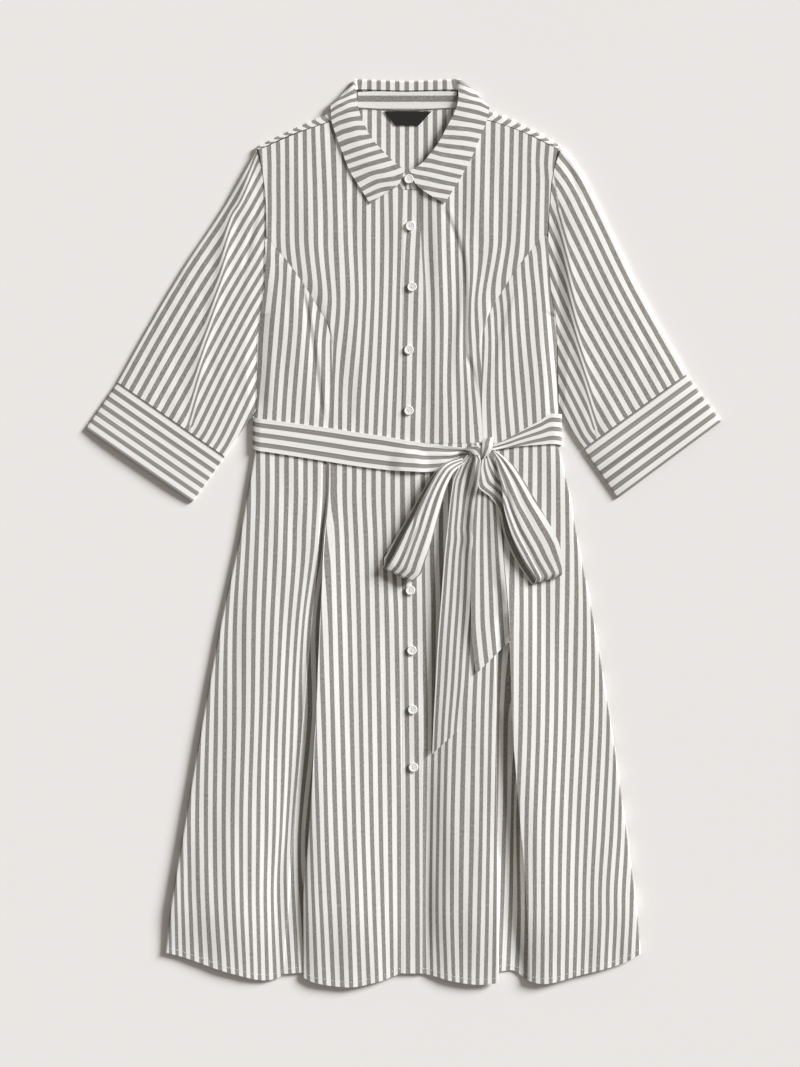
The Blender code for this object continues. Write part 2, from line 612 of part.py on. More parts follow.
def label_grid():
    height = WALL + REST + LABEL_WALL
    top = [(x, y, height) for x, y in LABEL_TOP]
    bottom = [(x, y, height) for x, y in LABEL_BOTTOM]
    return np.array([run(bottom, 4), run(top, 4)])


# ---------------------------------------------------------------- belt and bow

# Sections of the belt across the front: upper edge (x, y) and lower edge (x, y).
BELT_FRONT_RIGHT = (
    ((88, 109), (88, 99)), ((78, 113), (79, 95)), ((60, 115), (58, 86)), ((40, 118), (39, 82)),
    ((27, 119), (26, 81)), ((17, 121), (17, 81.5)), ((7, 122), (7, 82)), ((-3, 124), (-3, 82.5)),
    ((-14, 126), (-14, 83)), ((-28, 128.5), (-28, 84.5)), ((-60, 133), (-60, 88.5)),
    ((-95, 138.5), (-95, 94)), ((-145, 145.5), (-145, 102)), ((-180, 150), (-181, 107.5)),
    ((-188, 151), (-189, 108.5)),
)
BELT_FRONT_LEFT = (
    ((196, 158), (197, 118)), ((180, 149), (180, 117)), ((154, 134.5), (154, 115)),
    ((135, 124), (135, 112)), ((121, 118), (121, 110)), ((110, 114), (110, 108)),
)
BELT_BACK_XS = (-188, -120, -50, 20, 90, 150, 197)
# The belt's turn round a side of the body: x from its outermost line, and height.
BELT_TURN = ((4.5, 6.1), (1.3, 5.2), (0.0, 3.6), (0.6, 1.2), (2.4, 0.0))
BELT_SIDE_RIGHT = -198.0
BELT_SIDE_LEFT = 208.0
BELT_COLUMNS = 4
HIDDEN_BUTTON = 5       # the button that lies under the belt and lifts it
BUMP_TOP = 12.0         # radius of the lifted part of the belt
BUMP_REACH = 34.0       # radius at which the belt is down again

KNOT_CENTRE = (98.5, 110.0, 13.4)
KNOT_HALF = (19.5, 15.0, 6.2)
KNOT_SQUARE = 0.6       # 1 is an ellipsoid, less is squarer

# Bow: sections from the knot outwards. Rises are above the front's usual height.
LOOP_RIGHT = (
    # left edge, right edge, rise under the lower layer, rise over the upper layer
    ((76, 101), (80.5, 93), 2.6, 8.0),
    ((60, 93), (70, 80), 2.4, 7.8),
    ((39, 81), (58, 55), 2.4, 7.8),
    ((9, 30), (44, 10), 3.0, 7.9),
    ((-9, -6), (33, -22), 3.2, 7.9),
    ((-26, -39), (18, -60), 3.2, 7.7),
)
LOOP_LEFT = (
    ((116, 96), (121, 104), 2.0, 7.6),
    ((124, 68), (140, 92), 0.9, 7.0),
    ((134, 34), (162, 61), 1.2, 7.2),
    ((146, 2), (184, 24), 1.2, 7.2),
    ((158, -30), (203, -18), 1.3, 7.2),
    ((171, -66), (209, -52), 1.4, 7.2),
)
LOOP_END_REACH = 1.6    # how far the fold at the end of a loop stands past its layers
TAIL_LONG = (
    # left edge, right edge
    ((84, 93.5), (98, 93.5)),
    ((74, 80), (97, 80)),
    ((62, 42), (95, 42)),
    ((57, -10), (91, -10)),
    ((52, -88), (88, -90)),
    ((45, -139), (86, -145)),
    ((39, -202), (84, -202)),
    ((38, -250), (81, -236)),
    ((37, -292), (76, -258)),
)
TAIL_SHORT = (
    ((99.5, 93.5), (111, 93.5)),
    ((98.5, 80), (118, 80)),
    ((93, 30), (127, 30)),
    ((90, -35), (132, -35)),
    ((90, -109), (138, -100)),
    ((94, -160), (139.5, -132)),
    ((96, -185), (140, -142)),
)
TAIL_LIFT = 1.9         # outside face above what the tail lies on
TAIL_REACH = 5.0        # how far round a point the tail feels what it lies on
TAIL_COLUMNS = 5
LOOP_COLUMNS = 4


def belt_grid():
    """The belt from the knot round the body and back to the knot."""
    hidden_x, hidden_y = BUTTONS[HIDDEN_BUTTON]

    def over_front(x, y):
        from_button = math.hypot(x - hidden_x, y - hidden_y)
        near = (BUMP_REACH - from_button) / (BUMP_REACH - BUMP_TOP)
        near = min(max(near, 0.0), 1.0)
        return BELT_TOP + (BUTTON_THICK + REST) * near * near * (3 - 2 * near)

    def across(upper, lower, heights):
        return [(upper[0] + (lower[0] - upper[0]) * k / BELT_COLUMNS,
                 upper[1] + (lower[1] - upper[1]) * k / BELT_COLUMNS,
                 heights(k / BELT_COLUMNS)) for k in range(BELT_COLUMNS + 1)]

    def front_section(upper, lower):
        return across(upper, lower, lambda k: over_front(
            upper[0] + (lower[0] - upper[0]) * k, upper[1] + (lower[1] - upper[1]) * k))

    def turn(side, inward, start, end):
        """Sections round a side, from the edges at start to those at end."""
        made = []
        for i, (dx, z) in enumerate(BELT_TURN):
            share = (i + 1) / len(BELT_TURN)
            upper = (side + inward * dx, start[0] + (end[0] - start[0]) * share)
            lower = (side + inward * dx, start[1] + (end[1] - start[1]) * share)
            made.append(across(upper, lower, lambda k, z=z: z))
        return made

    back_edges = (BELT_BACK_Y + BELT_HALF, BELT_BACK_Y - BELT_HALF)
    right_edges = (BELT_FRONT_RIGHT[-1][0][1], BELT_FRONT_RIGHT[-1][1][1])
    left_edges = (BELT_FRONT_LEFT[0][0][1], BELT_FRONT_LEFT[0][1][1])
    rows = [front_section(*edges) for edges in BELT_FRONT_RIGHT]
    rows += turn(BELT_SIDE_RIGHT, 1, right_edges, back_edges)
    rows += [across((x, back_edges[0]), (x, back_edges[1]), lambda k: 0.0) for x in BELT_BACK_XS]
    rows += turn(BELT_SIDE_LEFT, -1, left_edges, back_edges)[::-1]
    rows += [front_section(*edges) for edges in BELT_FRONT_LEFT]
    return np.array(rows)


def knot(material):
    """The wrapped knot, as one rounded pillow."""
    rings, sides = 9, 20
    points = []

    def squared(value):
        return math.copysign(abs(value) ** KNOT_SQUARE, value)

    for r in range(1, rings):
        tilt = -math.pi / 2 + math.pi * r / rings
        for s in range(sides):
            turn = 2 * math.pi * s / sides
            flat = (squared(math.cos(tilt)) * squared(math.cos(turn)),
                    squared(math.cos(tilt)) * squared(math.sin(turn)), squared(math.sin(tilt)))
            points.append([c + h * f for c, h, f in zip(KNOT_CENTRE, KNOT_HALF, flat)])
    faces = grid_faces(rings - 1, sides, ring=True)
    poles = len(points)
    x, y, z = KNOT_CENTRE
    points += [(x, y, z - KNOT_HALF[2]), (x, y, z + KNOT_HALF[2])]
    last = (rings - 2) * sides
    for s in range(sides):
        t = (s + 1) % sides
        faces.append((poles, t, s))
        faces.append((poles + 1, last + s, last + t))
    return add_object("bow_knot", points, faces, material)


def loop_grid(table):
    """A loop of the bow: out along the lower layer, round the end, back along the upper."""
    keys = np.array([(*left, *right, FRONT_TOP + low, FRONT_TOP + high)
                     for left, right, low, high in table], float)
    index = np.arange(len(keys))
    rows = smooth(np.linspace(0, len(keys) - 1, 2 * len(keys) - 1), index, keys)
    lower = [[(r[0], r[1], r[4]), (r[2], r[3], r[4])] for r in rows]
    upper = [[(r[0], r[1], r[5]), (r[2], r[3], r[5])] for r in rows]
    last, before = rows[-1], rows[-2]
    ahead = (last[:4] - before[:4]).reshape(2, 2)
    ahead = ahead / np.linalg.norm(ahead, axis=1)[:, None] * LOOP_END_REACH
    middle = (last[4] + last[5]) / 2
    end = [[(last[0] + ahead[0, 0], last[1] + ahead[0, 1], middle),
            (last[2] + ahead[1, 0], last[3] + ahead[1, 1], middle)]]
    edges = np.array(lower + end + upper[::-1])
    return fill([edges[:, 0], edges[:, 1]], (LOOP_COLUMNS,))


def tail_grid(table, tree):
    """A loose end of the belt, draped on what lies under it."""
    keys = np.array([(*left, *right) for left, right in table], float)
    index = np.arange(len(keys))
    rows = smooth(np.linspace(0, len(keys) - 1, 2 * len(keys) - 1), index, keys)
    grid = []
    for r in rows:
        row = []
        for share in np.linspace(0.0, 1.0, TAIL_COLUMNS + 1):
            x = r[0] + (r[2] - r[0]) * share
            y = r[1] + (r[3] - r[1]) * share
            row.append((x, y, highest(tree, x, y, TAIL_REACH) + TAIL_LIFT))
        grid.append(row)
    return np.array(grid)


# ---------------------------------------------------------------- the dress


def main():
    for item in list(bpy.data.objects):
        bpy.data.objects.remove(item)
    stripe = finish("striped_cotton", (0.56, 0.55, 0.53), 0.85)
    belt_cotton = finish("striped_cotton_belt", (0.48, 0.47, 0.45), 0.85)
    plastic = finish("button_plastic", (0.75, 0.74, 0.71), 0.25)
    tape = finish("label_tape", (0.02, 0.02, 0.02), 0.6)

    cloth("back_bodice", back_bodice_grid(), stripe, turned=True)
    cloth("back_skirt", back_skirt_grid(), stripe)

    skirt_right = skirt_front_grid(SKIRT_FRONT_RIGHT, (2, 2, 2, 2, 3, 3, 2, 1),
                                   ("first_row", "last_column"))
    skirt_left = skirt_front_grid(SKIRT_FRONT_LEFT, (1, 2, 2, 3, 2, 3, 2, 2, 2),
                                  ("first_row", "first_column"))
    cloth("skirt_front_right", skirt_right, stripe, turned=True)
    cloth("skirt_front_left", skirt_left, stripe, turned=True)

    all_round = ("first_row", "last_row", "first_column", "last_column")
    front_right = front_grid(ARMHOLE_TOP_RIGHT, PRINCESS_RIGHT, FRONT_RIGHT,
                             (2, 2, 1, 2, 2, 1, 1))
    front_left = front_grid(ARMHOLE_TOP_LEFT, PRINCESS_LEFT, FRONT_LEFT,
                            (2, 2, 1, 2, 2, 2, 2, 1))
    cloth("front_right", draw_in(front_right, all_round), stripe, turned=True)
    cloth("front_left", draw_in(front_left, all_round), stripe)
    cloth("side_front_right", side_front_grid(ARMHOLE_LOW_RIGHT, SIDE_SEAM_RIGHT,
                                              SIDE_MIDDLE_RIGHT, PRINCESS_RIGHT, (2, 2, 2)),
          stripe, turned=True)
    cloth("side_front_left", side_front_grid(ARMHOLE_LOW_LEFT, SIDE_SEAM_LEFT,
                                             SIDE_MIDDLE_LEFT, PRINCESS_LEFT, (2, 2, 2)), stripe)
    cloth("placket", placket_grid(), stripe, turned=True)

    cloth("sleeve_right", sleeve_grid(SLEEVE_RIGHT), stripe, ring=True, turned=True)
    cloth("sleeve_left", sleeve_grid(SLEEVE_LEFT), stripe, ring=True)
    cloth("cuff_right", cuff_grid(SLEEVE_RIGHT), stripe, ring=True, turned=True)
    cloth("cuff_left", cuff_grid(SLEEVE_LEFT), stripe, ring=True)

    cloth("collar_fall", section_strip(COLLAR_FALL, (2, 2, 3), 1), stripe, turned=True)
    neck_right = np.concatenate((STAND_TAB, front_right[0, NECK_COLUMNS][::-1]))
    cloth("collar_stand_right", front_stand_grid(neck_right, ROLL_RIGHT), stripe)
    neck_left = front_left[0, NECK_COLUMNS][::-1]
    cloth("collar_stand_left", front_stand_grid(neck_left, ROLL_LEFT), stripe, turned=True)
    cloth("collar_stand_back", section_strip(STAND_BACK, (3,), 2), stripe)
    cloth("neck_label", label_grid(), tape, wall=LABEL_WALL)

    cloth("belt", belt_grid(), belt_cotton, wall=BELT_WALL, turned=True)
    knot(belt_cotton)
    cloth("bow_loop_right", loop_grid(LOOP_RIGHT), belt_cotton)
    cloth("bow_loop_left", loop_grid(LOOP_LEFT), belt_cotton)
    short = tail_grid(TAIL_SHORT, surface(skirt_left, skirt_right))
    cloth("bow_tail_short", short, belt_cotton, turned=True)
    cloth("bow_tail_long", tail_grid(TAIL_LONG, surface(skirt_left, skirt_right, short)),
          belt_cotton, turned=True)

    for number, (x, y) in enumerate(BUTTONS, start=1):
        carrier = TAB_TOP if y > NECK_FRONT else FRONT_TOP
        button(f"button_{number:02d}", x, y, carrier + REST, plastic)


main()
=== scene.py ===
"""The looks of a striped cotton shirt dress with a tied belt, laid flat on its back.

+Z points up out of the front of the dress, +Y runs from the hem to the collar, and -X is
the wearer's right. Every length in the tables is in millimetres. A fourth number of a
point counts the stripes of the cloth, and a dark stripe is centred on each whole number.
"""
import math
import random

import bpy
import numpy as np
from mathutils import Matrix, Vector
from mathutils.bvhtree import BVHTree


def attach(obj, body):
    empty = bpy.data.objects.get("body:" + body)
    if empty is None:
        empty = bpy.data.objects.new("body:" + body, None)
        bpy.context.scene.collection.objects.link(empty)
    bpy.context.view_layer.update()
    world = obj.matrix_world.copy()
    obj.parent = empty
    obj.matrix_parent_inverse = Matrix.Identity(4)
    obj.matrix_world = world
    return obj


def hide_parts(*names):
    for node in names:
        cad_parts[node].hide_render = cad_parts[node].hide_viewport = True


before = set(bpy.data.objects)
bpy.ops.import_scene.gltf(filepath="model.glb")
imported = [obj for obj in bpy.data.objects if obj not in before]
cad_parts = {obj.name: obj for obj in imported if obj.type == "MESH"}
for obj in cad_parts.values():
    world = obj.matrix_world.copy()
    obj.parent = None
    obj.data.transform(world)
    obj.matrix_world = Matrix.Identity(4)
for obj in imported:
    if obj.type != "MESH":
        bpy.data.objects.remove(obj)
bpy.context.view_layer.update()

MM = 0.001

# ---------------------------------------------------------------- driving sizes

WALL = 0.6              # one layer of cloth with its turned edge
LAYER = 1.5             # what one more layer adds to the height
BACK_LIFT = 1.3         # how far the belt lifts the back
UNDER = -LAYER          # the button stand lies one layer below the placket
FRONT_TOP = 5.5         # usual height of the front's outside face
SIDE_TOP = 2.7          # the front where it lies on the edge of the back

WAIST = 119.0           # y of the waist seam
NECK_FRONT = 453.0      # y of the neck seam at the centre front
HEM_NOMINAL = -580.0
STRIPE = 12.3           # width of one dark and one light stripe

BELT_BACK_Y = 135.3     # the belt's middle at the back
BELT_HALF = 20.5        # half of its width there
BELT_CLEAR = 23.0       # half of the stretch of the back that it lifts fully
BELT_RAMP = 20.0        # length of the slope on each side of that stretch
BELT_TOP = 6.8          # the belt's outside face over the front
BELT_WIDTH = 40.0       # across the front
BELT_STRIPES = 3.34     # stripes across the belt

PLACKET_LEFT = -1.0     # x of the placket's stitched edge
PLACKET_TOP = FRONT_TOP + 0.1
PLACKET_LENGTH = 1033.0
TAB_TOP = 6.4           # outside face of the collar's tab
BUTTON_RADIUS = 6.2
BUTTON_THICK = 2.2
SEAM_HALF = 0.15        # half of the gap along a seam

FINE = 2.6       # spacing of the cloth's points
ABOVE_ALL = 100.0       # higher than any cloth

# ---------------------------------------------------------------- curves and grids


def smooth(where, at, values):
    """Read a smooth curve through the values that never swings past them."""
    at = np.asarray(at, float)
    values = np.asarray(values, float)
    where = np.asarray(where, float)
    step = np.diff(at)
    slope = (np.diff(values, axis=0).T / step).T
    tangent = np.zeros_like(values)
    tangent[0], tangent[-1] = slope[0], slope[-1]
    for i in range(1, len(at) - 1):
        before, after = slope[i - 1], slope[i]
        same_way = before * after > 0.0
        total = np.where(same_way, before + after, 1.0)
        tangent[i] = np.where(same_way, 2.0 * before * after / total, 0.0)
    span = np.clip(np.searchsorted(at, where, side="right") - 1, 0, len(step) - 1)
    t = (where - at[span]) / step[span]
    if values.ndim > 1:
        t = t[:, None]
        step = step[:, None]
    return ((2 * t**3 - 3 * t**2 + 1) * values[span]
            + (t**3 - 2 * t**2 + t) * step[span] * tangent[span]
            + (3 * t**2 - 2 * t**3) * values[span + 1]
            + (t**3 - t**2) * step[span] * tangent[span + 1])


def distances(points):
    """Distance along a run of points, from the first. Stripe counts are left out."""
    steps = np.linalg.norm(np.diff(np.asarray(points)[:, :3], axis=0), axis=1)
    return np.concatenate(([0.0], np.cumsum(steps)))


def run(points, steps):
    """Evenly spaced points on a smooth curve through the given ones, ends included."""
    points = np.array(points, float)
    along = distances(points)
    return smooth(np.linspace(0.0, along[-1], steps + 1), along, points)


def steps_for(length, spacing=FINE, least=2):
    """How many steps cover a length."""
    return max(least, math.ceil(length / spacing))


def fill(lines, spacing=FINE, least=2):
    """A grid of rows across the lines, with points no further apart than the spacing."""
    lines = np.array(lines, float)
    gaps = np.linalg.norm(np.diff(lines[:, :, :3], axis=0), axis=2).max(axis=1)
    parts = [steps_for(gap, spacing, least) for gap in gaps]
    rows = []
    for r in range(lines.shape[1]):
        keys = lines[:, r]
        along = distances(keys)
        where = [along[0]]
        for k, count in enumerate(parts):
            where += list(np.linspace(along[k], along[k + 1], count + 1)[1:])
        rows.append(smooth(where, along, keys))
    return np.array(rows)


def patch(start, end, first, last):
    """A grid inside four edges: rows run from start to end, columns from first to last."""
    start, end = np.array(start, float), np.array(end, float)
    first, last = np.array(first, float), np.array(last, float)
    v = np.linspace(0.0, 1.0, len(first))[:, None, None]
    u = np.linspace(0.0, 1.0, len(start))[None, :, None]
    ruled_rows = (1 - v) * start[None] + v * end[None]
    ruled_columns = (1 - u) * first[:, None] + u * last[:, None]
    corners = ((1 - v) * (1 - u) * start[0] + (1 - v) * u * start[-1]
               + v * (1 - u) * end[0] + v * u * end[-1])
    return ruled_rows + ruled_columns - corners


def draw_in(grid, edges, amount=SEAM_HALF):
    """Move the named edges of a grid towards its middle, to leave the seam's gap."""
    grid = grid.copy()
    pairs = {"first_row": (np.s_[0], np.s_[1]), "last_row": (np.s_[-1], np.s_[-2]),
             "first_column": (np.s_[:, 0], np.s_[:, 1]),
             "last_column": (np.s_[:, -1], np.s_[:, -2])}
    for edge in edges:
        border, inner = pairs[edge]
        towards = (grid[inner] - grid[border])[..., :3]
        towards /= np.linalg.norm(towards, axis=1)[:, None]
        grid[border][..., :3] += towards * amount
    return grid


def ease(value):
    """0 below 0, 1 above 1, and a soft rise between them."""
    value = np.clip(value, 0.0, 1.0)
    return value * value * (3 - 2 * value)


# ---------------------------------------------------------------- creases

PATH_STEPS = 8          # steps between two points of a path
STEP_SHARPNESS = 0.6    # how soon a step rises, in half-widths of its crease
STEP_REACH = 3.2        # how far it reaches to each side, in half-widths
WAVES = 7               # waves that add up to a ripple
WAVE_TURN = 0.22        # spread of their bearings, in radians
WAVE_ACROSS = 0.7, 1.8  # their least and greatest length, in lengths of the ripple
WAVE_DOWN = 4.0, 8.0    # the same down the cloth
WAVE_SHARE = 3.0        # waves that would reach the ripple's height together
ANY_PHASE = 0, 6.3      # a full turn, in radians


def beside(grid, path):
    """Distance of a grid's points from a path in plan, the side, and how far along it."""
    points = grid[..., :2]
    path = np.asarray(path, float)[:, :2]
    path = run(path, PATH_STEPS * (len(path) - 1))
    length = distances(path)
    nearest = np.full(points.shape[:2], np.inf)
    side = np.zeros(points.shape[:2])
    along = np.zeros(points.shape[:2])
    for i in range(len(path) - 1):
        start, step = path[i], path[i + 1] - path[i]
        reach = points - start
        share = np.clip((reach @ step) / (step @ step), 0.0, 1.0)
        away = reach - share[..., None] * step
        far = np.linalg.norm(away, axis=-1)
        closer = far < nearest
        nearest = np.where(closer, far, nearest)
        across = step[0] * reach[..., 1] - step[1] * reach[..., 0]
        side = np.where(closer, np.sign(across), side)
        along = np.where(closer, (length[i] + share * (length[i + 1] - length[i])) / length[-1],
                         along)
    return nearest, side, along


def press(grid, creases):
    """Press creases into a grid: troughs, ridges and the steps of folded cloth.

    A crease has a path in plan, a half-width, how deep it goes, how much higher the cloth
    is on the left of the path, and how much of its length fades in and out.
    """
    for path, half, depth, step, fade_in, fade_out in creases:
        far, side, along = beside(grid, path)
        fade = np.ones_like(along)
        if fade_in:
            fade *= ease(along / fade_in)
        if fade_out:
            fade *= ease((1 - along) / fade_out)
        near = np.exp(-(far / half) ** 2)
        lifted = (np.tanh(side * far / (STEP_SHARPNESS * half))
                  * np.exp(-(far / (STEP_REACH * half)) ** 2))
        grid[..., 2] += fade * (lifted * step / 2 - near * depth)
    return grid


def ripple(grid, seed, height, length):
    """Soft uneven waves, long down the cloth and short across it."""
    chance = random.Random(seed)
    x, y = grid[..., 0], grid[..., 1]
    total = np.zeros_like(x)
    for _ in range(WAVES):
        turn = chance.gauss(0.0, WAVE_TURN)
        wave = length * chance.uniform(*WAVE_ACROSS)
        slow = length * chance.uniform(*WAVE_DOWN)
        across = x * math.cos(turn) + y * math.sin(turn)
        down = y * math.cos(turn) - x * math.sin(turn)
        total += (np.sin(2 * math.pi * across / wave + chance.uniform(*ANY_PHASE))
                  * np.sin(2 * math.pi * down / slow + chance.uniform(*ANY_PHASE)))
    grid[..., 2] += total * height / WAVE_SHARE
    return grid


# ---------------------------------------------------------------- materials


def colour(code):
    """A linear colour from an sRGB hex code."""
    made = []
    for i in (0, 2, 4):
        value = int(code[i:i + 2], 16) / 255
        made.append(value / 12.92 if value <= 0.04045 else ((value + 0.055) / 1.055) ** 2.4)
    return (*made, 1.0)


def add_node(tree, kind, inputs=None, output=0, **settings):
    """Add a node with its settings and links, and give one of its outputs.

    An input is a value or another node's output.
    """
    node = tree.nodes.new("ShaderNode" + kind)
    for name, value in settings.items():
        setattr(node, name, value)
    for name, value in (inputs or {}).items():
        if isinstance(value, bpy.types.NodeSocket):
            tree.links.new(value, node.inputs[name])
        else:
            node.inputs[name].default_value = value
    return node.outputs[output]


def blank(name, roughness, **sockets):
    """A material with one shader, its tree and that shader."""
    material = bpy.data.materials.new(name)
    material.use_nodes = True
    tree = material.node_tree
    shader = tree.nodes["Principled BSDF"]
    shader.inputs["Roughness"].default_value = roughness
    for socket, value in sockets.items():
        shader.inputs[socket.replace("_", " ")].default_value = value
    return material, tree, shader


THREAD_DARK = "7B7671"      # dyed warp of the dark stripe
THREAD_PALE = "A29D97"      # undyed weft showing between the dark threads
THREAD_WHITE = "F0EFEC"
THREAD_CREAM = "E6E4DE"
DARK_HALF = 0.241           # half of the dark stripe, in stripes
EDGE_SOFT = 0.018           # half of the soft edge between two stripes
EDGE_WANDER = 0.03          # how far that edge wanders
EDGE_WAVES = (3.0, 0.9, 1.0)    # waves of that edge to a stripe: 4 mm across, 14 mm along
SLUBS = (8.2, 3.1, 1.0)     # slubs to a stripe: 1.5 mm wide and 4 mm long
SLUB_SHOWS = (0.33, 0.7)    # the noise that makes the darkest and the palest speck
WEAVE_SCALE = 3.2           # draws a thread every 1.2 mm
WEAVE_BUMP = 0.00025        # metres
BUTTON_CLOUDS = 260.0       # across a button, so fine that they read as one milky white
THREAD_FLECKS = 900.0       # along a whole row of stitches: 0.7 mm at the hem
RIB_SCALE = 5.0             # draws a rib every 0.8 mm
RIB_BUMP = 0.0002           # metres
BOARD_PATCHES = 30.0        # across the whole board, so they only tint it faintly


def striped_cotton(name):
    """Yarn-dyed cotton poplin in stripes.

    It is plain woven and pressed. The dark stripe is heathered, because its dyed warp
    crosses an undyed weft. The cloth is matt with a faint soft sheen.
    """
    material, tree, shader = blank(name, 0.86, Sheen_Weight=0.12, Sheen_Roughness=0.5,
                                   Specular_IOR_Level=0.25)
    cloth_map = add_node(tree, "UVMap", uv_map="cloth")
    across = add_node(tree, "SeparateXYZ", {"Vector": cloth_map}, "X")
    # Real threads are 0.2 mm apart, which is too fine to show, so the slubs are drawn
    # 1.5 mm wide and 4 mm long.
    slub_map = add_node(tree, "Mapping", {"Vector": cloth_map, "Scale": SLUBS})
    slub = add_node(tree, "TexNoise", {"Vector": slub_map, "Scale": 1.0, "Detail": 2.0,
                                       "Roughness": 0.7})
    edge_map = add_node(tree, "Mapping", {"Vector": cloth_map, "Scale": EDGE_WAVES})
    wander = add_node(tree, "TexNoise", {"Vector": edge_map, "Scale": 1.0, "Detail": 1.0})
    edge = add_node(tree, "Math", {0: wander, 1: EDGE_WANDER, 2: -EDGE_WANDER / 2},
                    operation="MULTIPLY_ADD")
    folded = add_node(tree, "Math", {0: across, 1: 0.5}, operation="PINGPONG")
    from_middle = add_node(tree, "Math", {0: folded, 1: edge}, operation="ADD")
    white = add_node(tree, "MapRange",
                     {"Value": from_middle, "From Min": DARK_HALF - EDGE_SOFT,
                      "From Max": DARK_HALF + EDGE_SOFT}, interpolation_type="SMOOTHSTEP")
    specks = add_node(tree, "MapRange", {"Value": slub, "From Min": SLUB_SHOWS[0],
                                         "From Max": SLUB_SHOWS[1]})
    dark, pale = (add_node(tree, "Mix", {"Factor": specks, 6: colour(low), 7: colour(high)}, 2,
                           data_type="RGBA")
                  for low, high in ((THREAD_DARK, THREAD_PALE), (THREAD_CREAM, THREAD_WHITE)))
    both = add_node(tree, "Mix", {"Factor": white, 6: dark, 7: pale}, 2, data_type="RGBA")
    tree.links.new(both, shader.inputs["Base Color"])
    # The weave's bump, drawn at 1.2 mm so that it shows close up.
    threads, picks = (add_node(tree, "TexWave", {"Vector": cloth_map, "Scale": WEAVE_SCALE,
                                                 "Distortion": 0.6}, "Fac",
                               bands_direction=direction) for direction in "XY")
    crossing = add_node(tree, "Math", {0: threads, 1: picks}, operation="MULTIPLY")
    woven = add_node(tree, "Math", {0: crossing, 1: slub}, operation="ADD")
    bump = add_node(tree, "Bump", {"Height": woven, "Strength": 0.35, "Distance": WEAVE_BUMP})
    tree.links.new(bump, shader.inputs["Normal"])
    return material


def polyester_button(name):
    """Moulded polyester button, tumbled to a gloss: a milky white clouded from two whites."""
    material, tree, shader = blank(name, 0.34, IOR=1.54, Coat_Weight=0.15, Coat_Roughness=0.2)
    cloud = add_node(tree, "TexNoise", {"Scale": BUTTON_CLOUDS, "Detail": 3.0,
                                        "Distortion": 0.8})
    mixed = add_node(tree, "Mix", {"Factor": cloud, 6: colour("E3E1DC"), 7: colour("F2F1EE")},
                     2, data_type="RGBA")
    tree.links.new(mixed, shader.inputs["Base Color"])
    return material


def sewing_thread(name):
    """Spun polyester sewing thread: white and matt, with flecks where its twist turns."""
    material, tree, shader = blank(name, 0.7, Sheen_Weight=0.2)
    flecks = add_node(tree, "TexNoise", {"Scale": THREAD_FLECKS, "Detail": 1.0})
    mixed = add_node(tree, "Mix", {"Factor": flecks, 6: colour("D9D6CF"), 7: colour("F4F3F0")},
                     2, data_type="RGBA")
    tree.links.new(mixed, shader.inputs["Base Color"])
    return material


def satin_tape(name):
    """Woven satin label tape: black, with fine ribs and a low gloss."""
    material, tree, shader = blank(name, 0.45, Sheen_Weight=0.25, Sheen_Roughness=0.4)
    tape_map = add_node(tree, "UVMap", uv_map="cloth")
    ribs = add_node(tree, "TexWave", {"Vector": tape_map, "Scale": RIB_SCALE,
                                      "Distortion": 0.3}, "Fac", bands_direction="Y")
    mixed = add_node(tree, "Mix", {"Factor": ribs, 6: colour("0F0E0D"), 7: colour("1D1B1A")},
                     2, data_type="RGBA")
    tree.links.new(mixed, shader.inputs["Base Color"])
    bump = add_node(tree, "Bump", {"Height": ribs, "Strength": 0.3, "Distance": RIB_BUMP})
    tree.links.new(bump, shader.inputs["Normal"])
    return material


def painted_board(name):
    """Pale painted board under the dress: matt and almost even."""
    material, tree, shader = blank(name, 0.9, Specular_IOR_Level=0.1)
    patches = add_node(tree, "TexNoise", {"Scale": BOARD_PATCHES})
    mixed = add_node(tree, "Mix", {"Factor": patches, 6: colour("E9E5E2"), 7: colour("EBE7E4")},
                     2, data_type="RGBA")
    tree.links.new(mixed, shader.inputs["Base Color"])
    return material


# ---------------------------------------------------------------- objects


def grid_faces(rows, columns, ring=False):
    """Quads of a grid. On a ring, the last column joins the first."""
    row, column = np.meshgrid(np.arange(rows - 1), np.arange(columns if ring else columns - 1),
                              indexing="ij")
    beyond = (column + 1) % columns
    here, above = row * columns, (row + 1) * columns
    return np.stack([here + column, here + beyond, above + beyond, above + column],
                    axis=-1).reshape(-1, 4)


def add_object(name, points, faces, material, cloth_map=None, sharp=50):
    """An object from points in millimetres. Edges sharper than sharp, in degrees, stay hard."""
    mesh = bpy.data.meshes.new(name)
    mesh.from_pydata((np.asarray(points, float) * MM).tolist(), [],
                     [list(map(int, face)) for face in faces])
    mesh.materials.append(material)
    if cloth_map is not None:
        corners = np.zeros(len(mesh.loops), int)
        mesh.loops.foreach_get("vertex_index", corners)
        layer = mesh.uv_layers.new(name="cloth")
        layer.data.foreach_set("uv", cloth_map[corners].ravel())
    mesh.shade_smooth()
    if sharp:
        mesh.set_sharp_from_angle(angle=math.radians(sharp))
    item = bpy.data.objects.new(name, mesh)
    bpy.context.scene.collection.objects.link(item)
    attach(item, "root")
    return item


def shell(points, faces, wall):
    """Give some faces a thickness on their inner side, with a rim round every open edge."""
    corners = points[faces]
    normal = np.cross(corners[:, 2] - corners[:, 0], corners[:, 3] - corners[:, 1])
    total = np.zeros_like(points)
    for k in range(4):
        np.add.at(total, faces[:, k], normal)
    total /= np.maximum(np.linalg.norm(total, axis=1), 1e-9)[:, None]
    count = len(points)
    start, end = faces.ravel(), np.roll(faces, -1, axis=1).ravel()
    free = ~np.isin(start * count + end, end * count + start)
    start, end = start[free], end[free]
    rim = np.stack([end, start, start + count, end + count], axis=1)
    return (np.concatenate((points, points - total * wall)),
            np.concatenate((faces, faces[:, ::-1] + count, rim)))


